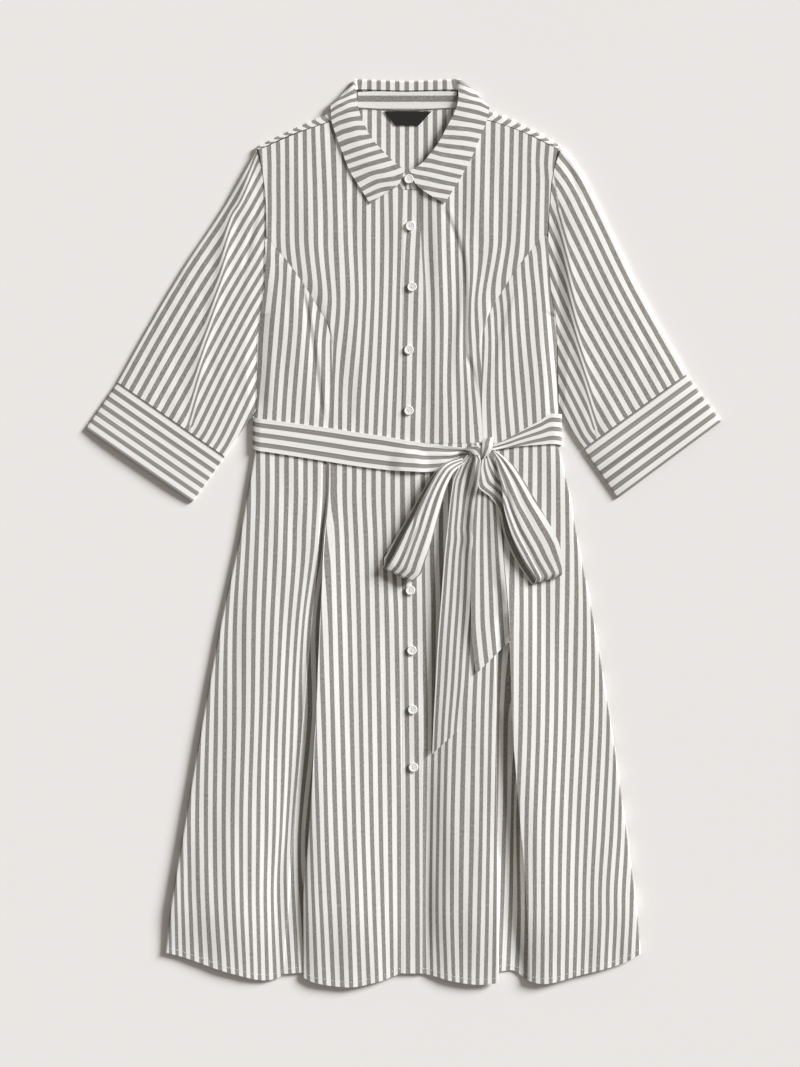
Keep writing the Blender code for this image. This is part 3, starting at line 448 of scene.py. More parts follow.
def add_shell(name, grid, along, material, wall, ring=False, turned=False):
    """A thin shell whose outside is the grid. Its map counts stripes across and along."""
    faces = grid_faces(*grid.shape[:2], ring)
    if turned:
        faces = faces[:, ::-1]
    cloth_map = np.stack([grid[..., 3], along], axis=-1).reshape(-1, 2)
    points, faces = shell(grid[..., :3].reshape(-1, 3), faces, wall)
    return add_object(name, points, faces, material, np.tile(cloth_map, (2, 1)))


def cloth(node, grid, material, wall=WALL, ring=False, turned=False):
    """One piece of cloth in place of its solid."""
    down = np.linalg.norm(np.diff(grid[..., :3], axis=0), axis=-1).mean(axis=1)
    length = np.concatenate(([0.0], np.cumsum(down))) / STRIPE
    along = np.repeat(length[:, None], grid.shape[1], axis=1)
    item = add_shell(node + "_cloth", grid, along, material, wall, ring, turned)
    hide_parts(node)


def surface(*grids):
    """The faces of some grids, to look up their height from above."""
    points, faces = [], []
    for grid in grids:
        base = len(points)
        points += [Vector(p) for p in grid[..., :3].reshape(-1, 3)]
        faces += (grid_faces(*grid.shape[:2]) + base).tolist()
    return BVHTree.FromPolygons(points, faces)


def height_at(tree, x, y):
    """Height of the faces at a point in plan, or 0 where there are none."""
    hit = tree.ray_cast(Vector((x, y, ABOVE_ALL)), Vector((0, 0, -1)))[0]
    return 0.0 if hit is None else hit.z


def highest(tree, x, y, reach):
    """Height of the highest place of a surface within reach of a point in plan."""
    return max(height_at(tree, x + dx, y + dy)
               for dx in (-reach, 0.0, reach) for dy in (-reach, 0.0, reach))


# ---------------------------------------------------------------- the back


def belt_lift(y):
    """1 where the belt lies under the back, 0 well clear of it."""
    past = abs(y - BELT_BACK_Y) - BELT_CLEAR
    return 1.0 - min(max(past / BELT_RAMP, 0.0), 1.0)


def back_under(y):
    """Height of the back's underside."""
    return BACK_LIFT * belt_lift(y)


def side_height(y):
    """Height of the front's outside face where it lies on the edge of the back."""
    return SIDE_TOP + back_under(y)


BACK_MIDDLE = 4.6           # x of the dark stripe in the middle of the back
BACK_LEVELS = (119, 158, 178, 234, 288, 340, 391, 440, 482)
# Each line runs up the back bodice: its x at the levels, where it meets the shoulder or
# the neck (x, y), and where the shoulder seam lies on the front, or None at the neck.
BACK_BODICE = (
    # x at the levels                                          top          shoulder seam
    ((-194, -193.5, -193, -192.5, -188, -183, -181, -181.6, -186), (-194, 510), (-190.5, 506)),
    ((-150, -150, -150, -150, -150, -149, -148, -148, -149), (-150, 531.5), (-148, 525.5)),
    ((-106, -106, -106, -106, -106, -106, -106, -107, -108), (-110, 549), (-108, 539.5)),
    ((-80, -80, -80, -80, -80, -81, -82, -83, -85), (-89, 557), (-88, 546.5)),
    ((-55, -55, -55, -55, -55, -56, -57, -58, -60), (-62, 560), None),
    ((0, 0, 0, 0, 0, 0, 0, 0, 0), (3, 556.5), None),
    ((60, 60, 60, 60, 60, 61, 62, 64, 66), (69, 560), None),
    ((90, 90, 90, 90, 90, 91, 92, 95, 98), (104, 558), (100, 548)),
    ((118, 118, 118, 118, 118, 118, 119, 120, 122), (125, 552.5), (122, 542)),
    ((160, 160, 160, 160, 160, 160, 160, 161, 162), (163, 536), (161, 528)),
    ((203, 204, 204, 202.5, 199, 191.8, 190, 192, 197.5), (206.5, 511.5), (203.5, 507)),
)
SHOULDER_TURN = ((-3.0, 0.0), (0.0, 2.6), (-2.0, 4.9))  # y from the top, z, round the turn
SHOULDER_SLANT = 0.42       # stripes that the slope of the shoulder shifts over the strip
NECK_STEPS = (-3.0, -2.0, -1.0)     # y from the top, where there is no seam
END_STEPS = 3               # steps between two points of the turn

SKIRT_LEVELS = (119, 57, -9, -114, -246, -391, -490, HEM_NOMINAL)
SKIRT_FOOT = -470.0         # y below which the rows are drawn to the hem's own curve
SKIRT_SIDE_RIGHT = (-194, -205, -217, -240, -265, -290, -306, -314)
SKIRT_SIDE_LEFT = (203, 218, 230, 251, 273, 294, 307, 313)
BACK_SKIRT = (
    # x at the skirt's levels                        y of the hem
    (SKIRT_SIDE_RIGHT, -552),
    ((-100, -105, -110, -122, -135, -150, -158, -165), -570),
    ((4, 4, 4, 4, 4, 4, 4, 4), -572),
    ((108, 113, 118, 130, 143, 155, 163, 170), -570),
    (SKIRT_SIDE_LEFT, -554),
)


def back_bodice_grid():
    """The back bodice, from the waist up to the neck and over the shoulders to their seams."""
    lines = []
    for xs, top, seam in BACK_BODICE:
        rows = steps_for(BACK_LEVELS[-1] - WAIST, 2 * FINE)
        ys = np.linspace(WAIST, BACK_LEVELS[-1], rows + 1)
        at = smooth(ys, BACK_LEVELS, xs)
        line = [(x, y, back_under(y), (x - BACK_MIDDLE) / STRIPE) for x, y in zip(at, ys)]
        count = (top[0] - BACK_MIDDLE) / STRIPE
        slant = SHOULDER_SLANT * (-1 if top[0] < 0 else 1)
        if seam:
            line += [(top[0], top[1] + dy, z, count) for dy, z in SHOULDER_TURN]
            line.append((*seam, FRONT_TOP, count + slant))
        else:
            line += [(top[0], top[1] + dy, 0.0, count) for dy in NECK_STEPS]
            line.append((*top, 0.0, count))
        ends = np.array(line[len(ys) - 1:])
        fine_end = [smooth(np.linspace(k, k + 1, END_STEPS + 1)[1:], np.arange(len(ends)), ends)
                    for k in range(len(ends) - 1)]
        lines.append(np.concatenate([np.array(line[:len(ys)]), *fine_end]))
    return draw_in(fill(lines, 1.6 * FINE), ("first_row", "last_row"))


def down_the_skirt(xs, hem, height, stripes=None):
    """One line down the skirt, with its rows pulled to the hem's own place at the foot."""
    levels = [-level for level in SKIRT_LEVELS]
    rows = steps_for(WAIST - SKIRT_FOOT, 2.2 * FINE)
    foot = steps_for(SKIRT_FOOT - HEM_NOMINAL, 1.6 * FINE)
    ys = np.concatenate((np.linspace(WAIST, SKIRT_FOOT, rows + 1),
                         np.linspace(SKIRT_FOOT, HEM_NOMINAL, foot + 1)[1:]))
    at = smooth(-ys, levels, xs)
    rise = [height(y) for y in ys]
    count = (at - BACK_MIDDLE) / STRIPE if stripes is None else smooth(-ys, levels, stripes)
    below = (ys - SKIRT_FOOT) * (SKIRT_FOOT - hem) / (SKIRT_FOOT - HEM_NOMINAL)
    pulled = np.where(ys < SKIRT_FOOT, SKIRT_FOOT + below, ys)
    return np.stack([at, pulled, rise, count], axis=1)


def back_skirt_grid():
    """The back skirt, from the waist to the hem."""
    lines = [down_the_skirt(xs, hem, back_under) for xs, hem in BACK_SKIRT]
    return draw_in(fill(lines, 2.5 * FINE), ("first_row",))


# ---------------------------------------------------------------- the skirt's front

FRONT_WAVES = 11, 0.3, 46.0     # seed, height and length of the front's soft waves
HEM_DROOP = 0.55                # how much of its height the skirt loses at the hem
HEM_DROOP_FROM = -495.0         # y where it starts to lose it
HEM_DROOP_LENGTH = 85.0
SIDE_ROUND = 1.3                # how far inside its edge the cloth is rounded over
SIDE_SHARES = 0.15, 0.85        # shares of the edge's and the next line's height there

# Lines down the skirt: x, the rise above the usual height and the stripes counted from the
# placket, all at the skirt's levels, and the y of the hem. The skirt lies in lobes. Under
# each princess seam a pleat folds beneath the lip of the panel beside it.
SKIRT_FRONT_RIGHT = (
    (SKIRT_SIDE_RIGHT, None, (21.2, 22.1, 23.1, 24.7, 26.7, 28.7, 30.7, 31.8), -552),
    ((-182, -192, -204, -226, -251, -275, -288, -290), (0, 0, 0, 0.3, 1, 1.8, 2.4, 2.6),
     (20.2, 21.05, 21.9, 23.35, 25.35, 27.3, 28.7, 29.1), -558.5),
    ((-163, -165.5, -169.5, -183, -200, -216, -222.5, -226.5), (0, 0.1, 0.6, 1.8, 3.2, 4.4, 5, 5),
     (18.7, 18.9, 19.1, 19.85, 21.1, 22.2, 22.9, 23.7), -580),
    ((-136.5, -136.5, -130, -138, -151, -167, -179, -181.5), (0, 0, 0.2, 0.7, 1, 1.2, 1.2, 1.2),
     (16.6, 16.6, 15.9, 15.8, 16.45, 17.65, 18.7, 19.2), -589),
    ((-121, -121, -115.5, -124.5, -137, -153, -164.5, -166),
     (0, 0, 0.1, -0.2, -0.3, -0.5, -0.6, -0.7),
     (15.35, 15.35, 14.65, 14.1, 15.05, 15.9, 17.05, 17.7), -586),
    ((-108, -109, -112, -121.5, -132.5, -146, -152.5, -159), (0, 0, 0.2, 0.2, 0, -0.4, -0.6, -0.8),
     (14.4, 14.45, 14.3, 13.8, 14.7, 14.95, 15.75, 16.95), -582.5),
    ((-107, -108, -111, -120.5, -131.5, -145, -151.5, -158),
     (-0.1, -0.1, -0.8, -1.8, -2.4, -2.2, -1.3, -1),
     (14.32, 14.37, 14.2, 13.7, 14.61, 14.85, 15.66, 16.86), -581),
    ((-99.5, -100, -106, -111, -117, -125.5, -133.5, -133.5),
     (-1.1, -1.1, -2.3, -3.7, -4.2, -3.4, -1.2, -0.4),
     (13.6, 13.6, 13.7, 12.8, 13.4, 12.9, 14.05, 14.4), -579),
    ((-94, -94.5, -100.5, -105.5, -111, -120, -128, -128),
     (-1.0, -1.0, -2.1, -3.5, -4.1, -3.3, -1, -0.2),
     (12.6, 12.6, 12.8, 12, 12.7, 12.5, 13.8, 14), -578),
    ((-95, -96, -101, -106, -111.5, -120, -128, -128.5), (-0.9, -0.9, -0.9, -0.4, 0, 0, -0.2, -0.1),
     (9, 9, 9.5, 10, 10.9, 11.9, 13.4, 13.5), -580),
    ((-98.5, -99, -105, -110, -116, -124.5, -132.5, -132.5),
     (0.3, 0.8, 2.4, 5.2, 6.8, 5.2, 2.6, 1.8),
     (7.65, 7.7, 8.35, 9.25, 10.15, 11.5, 13, 13.1), -583),
    ((-86.5, -86.5, -91.5, -97, -102.5, -109, -113, -113), (0.2, 0.5, 1.8, 4.4, 6.2, 6.6, 6, 5.6),
     (6.7, 6.7, 7.35, 8.05, 8.8, 9.7, 10.45, 10.85), -593),
    ((-70.5,) * 8, (0, 0.1, 0.6, 2.2, 3.8, 5, 5.8, 6.2),
     (5.45, 5.45, 5.65, 5.95, 6.2, 6.5, 6.85, 7.15), -598),
    ((-37.5,) * 8, (0, 0, 0.2, 1, 1.8, 2.6, 3.4, 4),
     (2.85, 2.85, 3.05, 3.25, 3.45, 3.65, 3.9, 4.25), -592),
    ((-1,) * 8, (0,) * 8, (-0.05, -0.05, -0.05, 0.33, 0.5, 0.6, 0.6, 0.55), -579),
)
SKIRT_FRONT_LEFT = (
    ((-0.5,) * 8, (UNDER,) * 8, (-2.2,) * 8, -579),
    ((12,) * 8, (UNDER,) * 8, (-1.2,) * 8, -579),
    ((29,) * 8, (-1.1, -1.1, -1.2, -1.4, -2, -2.4, -2.6, -2.6),
     (0.3, 0.3, 0.3, 0.2, -0.05, 0.1, 0.2, 0.1), -581),
    ((40.5,) * 8, (-0.6, -0.6, -0.5, -0.4, -0.6, 0, 0.6, 1.2),
     (1.25, 1.25, 1.25, 1.05, 1.15, 1.45, 1.6, 1.35), -583.5),
    ((61.5,) * 8, (0, 0, 0.2, 1, 2, 3.4, 4.4, 5), (3, 3, 3, 2.9, 3.4, 3.75, 3.8, 3.55), -589.5),
    ((96, 97.5, 98.5, 98.5, 98.5, 98.5, 98.5, 98.5), (0.1, 0.1, 0.8, 2, 3.2, 5, 6, 6.4),
     (5.75, 5.9, 5.95, 6.1, 6.5, 6.7, 6.9, 7.1), -594.5),
    ((106.5, 110, 114.5, 119, 122, 122.5, 123.5, 124.5), (0, 0, 0.7, 1.9, 3, 4.9, 5.9, 6.2),
     (6.6, 6.95, 7.4, 8.05, 8.75, 9.1, 9.35, 9.6), -591.5),
    ((107.4, 110.9, 115.4, 119.9, 122.9, 123.4, 124.4, 125.4),
     (-0.9, -0.9, -1.8, -2.8, -3.4, -3.6, -3.8, -3.8),
     (6.73, 7.04, 7.48, 8.13, 8.84, 9.19, 9.47, 9.81), -579),
    ((109.5, 115.5, 126, 135.5, 140.5, 143, 143, 143),
     (-1.1, -1.1, -2.5, -3.9, -4.3, -4.3, -4.3, -4.3),
     (6.9, 7.35, 8.2, 9.35, 10.35, 10.95, 11.15, 11.45), -576),
    ((113.5, 119, 130, 144, 148, 151, 152.5, 154), (-1.1, -1.1, -2.3, -3.7, -4.1, -3.6, -3.2, -3),
     (7.3, 7.7, 8.6, 9.7, 10.5, 12.05, 12, 12.4), -581.5),
    ((112, 117.5, 128.5, 142.5, 146.5, 153, 157, 160.5),
     (-0.9, -0.9, -0.6, -0.2, 0.2, 0, 0.4, 0.6),
     (7.8, 8.2, 9.1, 10.1, 10.7, 12.2, 12.5, 13), -586),
    ((109, 114, 124.5, 138.5, 143, 154.5, 161.5, 167), (0.3, 0.8, 2.4, 5.4, 6.8, 7, 6.8, 6.4),
     (8.3, 8.7, 9.5, 10.55, 10.95, 12.35, 12.95, 13.6), -590),
    ((123.5, 127.5, 138, 152.5, 158, 169.5, 177.5, 184), (0.2, 0.5, 1.8, 4.6, 6.4, 7.2, 7.6, 7.6),
     (9.5, 9.8, 10.6, 11.75, 12.3, 13.7, 14.45, 15.1), -593.5),
    ((162, 170, 182, 197, 212, 228, 233, 230), (0, 0, 0.4, 1.4, 2.8, 3.8, 4.2, 4.2),
     (12.55, 13.25, 14.3, 15.55, 16.95, 18.85, 19.55, 19.45), -583),
    ((191, 205, 218, 238, 259, 282, 294, 291), (0, 0, 0, 0.3, 0.9, 1.6, 2, 2.2),
     (15, 16.1, 17.15, 18.9, 20.95, 23.75, 25.4, 25.4), -566),
    (SKIRT_SIDE_LEFT, None, (16, 17.2, 18.3, 20.2, 22.3, 25, 26.6, 27.5), -554),
)


def drooped(z, y):
    """Height of the skirt's front, let down towards the surface near the hem."""
    down = float(ease((HEM_DROOP_FROM - y) / HEM_DROOP_LENGTH))
    return z - HEM_DROOP * (z - SIDE_TOP) * down


def rounded_side(side, inner):
    """A line just inside a side seam, where the cloth rounds over to the layer below."""
    gap = np.linalg.norm(inner[:, :2] - side[:, :2], axis=1)[:, None]
    line = side + (inner - side) * SIDE_ROUND / gap
    line[:, 2] = SIDE_SHARES[0] * side[:, 2] + SIDE_SHARES[1] * inner[:, 2]
    return line


def skirt_front_grid(table, seams):
    """A skirt front. The line without heights of its own is the one at the side seam."""
    levels = [-level for level in SKIRT_LEVELS]
    lines = []
    for xs, zs, stripes, hem in table:
        if zs is None:
            height = side_height
        else:
            def height(y, zs=zs):
                """Height of this line's outside face."""
                return drooped(FRONT_TOP + float(smooth(-y, levels, zs)), y)
        lines.append(down_the_skirt(xs, hem, height, stripes))
    if table[0][1] is None:
        lines.insert(1, rounded_side(lines[0], lines[1]))
    else:
        lines.insert(-1, rounded_side(lines[-1], lines[-2]))
    return draw_in(ripple(fill(lines, FINE, 3), *FRONT_WAVES), seams)


# ---------------------------------------------------------------- the bodice's front

# Points are x, y, the rise above the usual height, and the stripes counted from the
# placket on the centre fronts and across the side seam on the side fronts.
ARMHOLE_TOP_RIGHT = ((-190.5, 505.5, 0, 16.1), (-187, 482, 0, 15.9), (-183, 456, -0.2, 15.55),
                     (-181, 423, -0.4, 15.4), (-180.5, 391, -0.4, 15.3))
ARMHOLE_TOP_LEFT = ((203.5, 506.5, 0, 15.2), (199, 484, 0, 15.0), (195, 462, -0.2, 14.5),
                    (192, 426, -0.4, 14.3), (190, 396, -0.4, 14.15))
PRINCESS_RIGHT = ((-180.5, 391, -0.4, 15.3), (-168, 377, -0.2, 14.3), (-140, 341, 0, 12.3),
                  (-115, 302, 0, 10.25), (-99, 272, 0, 9.15), (-95, 249, 0, 8.6),
                  (-94, 182, 0, 8.05), (-94, WAIST, 0, 7.85))
PRINCESS_LEFT = ((190, 396, -0.4, 14.15), (173, 379, -0.2, 12.75), (155, 357, 0, 11.6),
                 (133, 324, 0, 10.1), (110, 282, 0, 8.4), (104, 253, 0, 7.75),
                 (103, 179, 0, 6.95), (105, WAIST, 0, 6.65))
# The same seams counted in the side fronts' stripes.
PRINCESS_SIDE_RIGHT = (7.25, 6.2, 3.6, 1.4, -0.4, -0.95, -1.0, -1.25)
PRINCESS_SIDE_LEFT = (7.1, 5.65, 3.8, 1.65, -1.3, -2.1, -1.8, -1.7)
# Lines down a centre front, at the top, at the start of the princess seam, over the bust,
# below the bust and at the waist.
FRONT_RIGHT = (
    ((-140, 527.5, 0, 11.85), (-135, 391, 0.2, 11.55), (-98, 300, 0.8, 9.05),
     (-84, 180, 0, 7.07), (-82, WAIST, 0, 6.85)),
    ((-98, 542, 0, 8.27), (-100, 391, 0.4, 8.8), (-80, 300, 0.8, 7.5), (-70, 180, 0, 5.95),
     (-70, WAIST, 0, 5.83)),
    ((-86, 545.5, 0, 7.5), (-80, 391, 0.3, 7.3), (-66, 300, 0.8, 6.4), (-60, 180, 0, 5.1),
     (-60, WAIST, 0, 4.9)),
    ((-61, 501.5, 0, 5.75), (-56, 391, 0, 5.35), (-48, 300, 0.6, 4.7), (-46, 180, 0, 3.9),
     (-46, WAIST, 0, 3.7)),
    ((-38, 476.5, 0, 3.85), (-36, 391, 0.1, 3.68), (-32, 300, 0.2, 3.2), (-30, 180, 0, 2.6),
     (-30, WAIST, 0, 2.35)),
    ((-18, 460.5, 0, 2.05), (-18, 391, 0, 2.15), (-16, 300, 0, 1.83), (-15, 180, 0, 1.3),
     (-15, WAIST, 0, 1.1)),
    ((-1, NECK_FRONT, 0, 0.8), (-1, 391, 0, 0.65), (-1, 300, 0, 0.37), (-1, 180, 0, 0.1),
     (-1, WAIST, 0, -0.08)),
)
FRONT_LEFT = (
    ((152, 531, 0, 10.75), (148, 391, 0.2, 10.75), (106, 300, 0.8, 8.0), (93, 180, 0, 6.05),
     (93, WAIST, 0, 5.65)),
    ((112, 544, 0, 7.5), (112, 391, 0.4, 7.7), (92, 300, 0.8, 6.6), (82, 180, 0, 4.9),
     (82, WAIST, 0, 4.75)),
    ((98, 546.5, 0, 6.4), (92, 391, 0.8, 6.2), (80, 300, 0.8, 4.95), (72, 180, 0, 3.95),
     (72, WAIST, 0, 3.85)),
    ((73, 502, 0, 4.25), (70, 391, -0.6, 4.0), (68, 300, -0.6, 3.6), (60, 180, 0, 2.95),
     (60, WAIST, 0, 2.8)),
    ((51, 478, 0, 2.45), (50, 391, 0.6, 2.23), (50, 300, 0.6, 2.0), (47, 180, 0, 1.77),
     (47, WAIST, 0, 1.8)),
    ((29, 457, -0.8, 0.5), (30, 391, -1.2, 0.53), (31, 300, -1.2, 0.3), (30, 180, -1.1, 0.25),
     (29, WAIST, -1.1, 0.28)),
    ((12, NECK_FRONT, UNDER, -1), (12, 391, UNDER, -1), (12, 300, UNDER, -1.2),
     (12, 180, UNDER, -1.2), (12, WAIST, UNDER, -1.2)),
    ((-0.5, NECK_FRONT, UNDER, -2), (-0.5, 391, UNDER, -2), (-0.5, 300, UNDER, -2.2),
     (-0.5, 180, UNDER, -2.2), (-0.5, WAIST, UNDER, -2.2)),
)
ARMHOLE_LOW_RIGHT = ((-182.5, 387, -0.4, 7.5), (-182, 365, -0.5, 7.35), (-183, 329, -0.8, 7.05),
                     (-189, 288, -1.2, 7.2))
ARMHOLE_LOW_LEFT = ((191, 391, -0.4, 7.25), (192, 347, -0.7, 7.0), (194, 320, -0.9, 7.05),
                    (200, 288, -1.2, 7.35))
SIDE_SEAM_RIGHT = ((-189, 288, 7.2), (-192, 258, 7.3), (-193, 228, 7.3), (-193, 178, 7.0),
                   (-193.5, 158, 6.9), (-194, WAIST, 6.75))
SIDE_SEAM_LEFT = ((200, 288, 7.35), (202, 258, 7.25), (203, 228, 7.1), (204, 178, 6.8),
                  (204, 158, 6.6), (203, WAIST, 6.25))
SIDE_MIDDLE_RIGHT = (
    ((-181.4, 387.8, -0.3, 7.4), (-172, 330, 0, 6.35), (-170, 260, 0.4, 5.65),
     (-172, 180, 0, 5.28), (-174, WAIST, 0, 5.15)),
    ((-180.2, 388.6, -0.3, 7.3), (-145, 330, 0.4, 3.95), (-132, 260, 0.8, 2.55),
     (-128, 180, 0, 1.7), (-126, WAIST, 0, 1.25)),
)
SIDE_MIDDLE_LEFT = (
    ((189.6, 391.8, -0.3, 7.1), (180, 330, 0, 5.8), (181, 260, 0.4, 5.4), (184, 180, 0, 5.07),
     (184, WAIST, 0, 4.8)),
    ((188.4, 392.6, -0.3, 7.0), (156, 330, 0.4, 3.75), (142, 260, 0.8, 2.1),
     (138, 180, 0, 1.3), (137, WAIST, 0, 0.8)),
)
UPPER_STEPS = steps_for(115)            # down the armhole to the princess seam
PRINCESS_STEPS = steps_for(300)         # down the princess seam
ARMHOLE_LOW_STEPS = steps_for(105)      # down the armhole to the underarm
TOP_CORNER_BACK = 0.15      # how far a side front's sharp upper corner is drawn back

# Soft creases over the bust: path, half-width, depth, step, and the shares that fade.
CREASES_FRONT_LEFT = (
    (((53, 434), (62, 411), (72, 387), (80, 356), (82.5, 308), (82.5, 240), (90, 220),
      (103, 170)), 3.2, 0.5, 1.3, 0.06, 0.25),
    (((44, 440), (50, 400), (54, 350), (55, 290)), 6.0, 0.5, 0.0, 0.4, 0.5),
)
CREASES_FRONT_RIGHT = (
    (((-62, 480), (-70, 430), (-74, 380)), 6.0, 0.4, 0.0, 0.4, 0.5),
    (((-60, 250), (-66, 200), (-72, 140)), 5.0, 0.4, 0.0, 0.5, 0.2),
)
CREASES_SIDE_RIGHT = (
    (((-132, 328), (-125, 288), (-117, 244), (-111, 203), (-104, 145)), 2.4, 0.3, 1.5, 0.15, 0.15),
    (((-160, 340), (-150, 290), (-146, 230)), 6.0, 0.4, 0.0, 0.4, 0.6),
)
CREASES_SIDE_LEFT = (
    (((150, 330), (135, 285), (122, 240), (114, 190)), 3.5, 0.2, 0.8, 0.2, 0.5),
)


def raised(points):
    """Points whose third number is the rise above the front's usual height."""
    points = np.array(points, float)
    points[:, 2] += FRONT_TOP
    return points


def recounted(points, stripes):
    """The same points with another count of stripes."""
    return [(*point[:3], count) for point, count in zip(points, stripes)]


def front_grid(armhole, princess, table, creases):
    """A centre front, from its outer edge to the centre."""
    outer = np.concatenate((run(raised(armhole), UPPER_STEPS)[:-1],
                            run(raised(princess), PRINCESS_STEPS)))
    lines = [outer]
    for keys in table:
        down = [-key[1] for key in keys]
        where = np.concatenate((np.linspace(down[0], down[1], UPPER_STEPS + 1)[:-1],
                                np.linspace(down[1], down[-1], PRINCESS_STEPS + 1)))
        lines.append(smooth(where, down, raised(keys)))
    return press(ripple(fill(lines), *FRONT_WAVES), creases)


def side_front_grid(armhole, side_seam, middle, princess, stripes, creases):
    """A side front, from the armhole and side seam to the princess seam."""
    side = run([(x, y, side_height(y), count) for x, y, count in side_seam],
               PRINCESS_STEPS - ARMHOLE_LOW_STEPS)
    lines = [np.concatenate((run(raised(armhole), ARMHOLE_LOW_STEPS), side[1:]))]
    for keys in middle:
        lines.append(run(raised(keys), PRINCESS_STEPS))
    inner = run(raised(recounted(princess, stripes)), PRINCESS_STEPS)
    inner[0] += TOP_CORNER_BACK * (lines[-1][0] - inner[0])
    lines.append(inner)
    grid = press(ripple(fill(lines), *FRONT_WAVES), creases)
    return draw_in(grid, ("last_row", "last_column"))


# ---------------------------------------------------------------- placket

PLACKET_EDGES = (
    # y, x of the free edge, stripes at the stitched edge, stripes at the free edge
    (NECK_FRONT, 20, -0.8, 1.0), (405, 22.5, -0.7, 1.2), (378, 23.8, -0.54, 1.4),
    (322, 26, -0.36, 1.7), (190, 25.6, -0.13, 1.9), (119, 25.5, 0.05, 2.0),
    (-114, 25.5, -0.24, 1.8), (-246, 25.5, -0.44, 1.68), (-380, 25.3, -0.56, 1.6),
    (HEM_NOMINAL, 25, -0.56, 1.5),
)


def placket_grid():
    """The band that carries the buttonholes, from the neck to the hem."""
    rows = steps_for(PLACKET_LENGTH, 2 * FINE)
    ys = np.linspace(NECK_FRONT - 2 * SEAM_HALF, HEM_NOMINAL, rows + 1)
    keys = np.array(PLACKET_EDGES, float)
    edge, near, far = smooth(-ys, -keys[:, 0], keys[:, 1:]).T
    heights = [drooped(PLACKET_TOP, y) for y in ys]
    left = [(PLACKET_LEFT, y, z, count) for y, z, count in zip(ys, heights, near)]
    right = list(zip(edge, ys, heights, far))
    return draw_in(ripple(fill([left, right]), *FRONT_WAVES), ("first_column",))


# ---------------------------------------------------------------- sleeves and cuffs

SLEEVE_EDGE = 3.6       # height of a sleeve at its folds
SLEEVE_CROWN = 2.1      # what it rises by between them
CUFF_EDGE = 3.6
CUFF_CROWN = 2.0
FOLD_IN = 1.3           # how far the layers stop short of the outer fold's line
FOLD_IN_NEAR = 0.4      # and of the line beside the body
FOLD_TURN = (-50, 0, 50)    # places round the fold, in degrees from its outermost line
ARMHOLE_CLEAR = 0.7     # the sleeve stays this far from the body in plan
ARMHOLE_LENGTH = 430.0
SLEEVE_LENGTH = 340.0
CUFF_WIDTH = 171.0
CUFF_DEPTH = 73.0
CUFF_SEAM_HALF = 0.5
CUFF_STRIPES = 5.95     # stripes along the depth of a cuff
CUFF_FIRST = 0.05       # count of stripes at its seam
CROWN_POWER = 4         # more makes a crown flatter
SEAM_FADE = 5           # the armhole's own height fades out over the first fifth
SLEEVE_FIRST = 7.9      # the first dark stripe, in from the outer fold
SLEEVE_STRIPE = 12.8    # a stripe in plan outside the crease, and past it
SLEEVE_STRIPE_PAST = 10.8
CREASE_STRIPES = 0.9    # stripes that the crease hides
CREASE_WIDTH = 12       # width over which it hides them
SLEEVE_WAVES = 0.25, 34.0       # height and length
SLEEVE_LEAST = SLEEVE_EDGE * 0.55   # no crease comes below this height

# The edge beside the body runs up the side seam to the underarm, then round the armhole.
# Its third number is the rise of the upper layer above the front's usual height. The
# crease is where the sleeve's stripes bend and close up.
SLEEVE_RIGHT = {
    "body": ((-193.6, 164, -2.5), (-193, 228, -2.5), (-192, 258, -2.3), (-189, 288, -1.2),
             (-183.5, 329, -0.8), (-182.6, 365, -0.5), (-181.8, 391, -0.4), (-181.8, 423, -0.4),
             (-183.2, 456, -0.2), (-187.2, 482, 0), (-194, 506, -0.6)),
    "outer": ((-193, 506), (-240, 425), (-290, 350), (-334, 276), (-377, 199)),
    "inner": ((-193.6, 164), (-212, 137), (-236, 101)),
    "cuff_end": ((-278, 42), (-419, 139)),
    "out": -1,
    "crease": ((-193, 503.5), (-216, 436), (-227.5, 419), (-240, 344), (-253, 288.5),
               (-271, 210.5), (-280.5, 144.5)),
}
SLEEVE_LEFT = {
    "body": ((204.2, 170, -2.5), (203, 228, -2.5), (202, 258, -2.3), (200, 288, -1.2),
             (194, 320, -0.9), (192, 347, -0.7), (190.5, 391, -0.4), (192, 426, -0.4),
             (195, 462, -0.2), (199, 484, 0), (207.5, 507.5, -0.6)),
    "outer": ((208, 509), (236, 472), (260, 425), (305, 332), (373, 210)),
    "inner": ((204.2, 170), (218, 144), (238, 112)),
    "cuff_end": ((283, 47), (419, 148)),
    "out": 1,
    "crease": ((205, 428), (214.5, 366), (227, 272.5), (242.5, 194.5), (252, 139)),
}

# Soft creases of the upper layer: path, half-width, depth, step, and the shares that fade.
CREASES_SLEEVE_RIGHT = (
    (((-196, 490), (-216, 436), (-227.5, 419), (-240, 344), (-253, 288.5), (-271, 210.5),
      (-280, 150)), 8.0, -1.6, 0.0, 0.15, 0.3),
    (((-184, 444), (-196.5, 412.5), (-209, 350), (-216, 304)), 4.0, 0.8, 0.0, 0.2, 0.5),
    (((-200, 250), (-222, 205), (-240, 150)), 6.0, 0.4, 0.0, 0.4, 0.4),
)
CREASES_SLEEVE_LEFT = (
    (((205, 428), (214.5, 366), (227, 272.5), (242.5, 194.5), (252, 142)), 8.0, -1.1, 0.0, 0.2,
     0.3),
    (((194, 446), (197, 360), (202, 308), (211, 250), (224, 195)), 15.0, 3.3, 0.0, 0.2, 0.45),
    (((211, 500), (233, 444), (242, 426)), 4.0, 0.7, 0.0, 0.2, 0.6),
    (((300, 300), (318, 250), (330, 190)), 7.0, 0.4, 0.0, 0.4, 0.4),
)


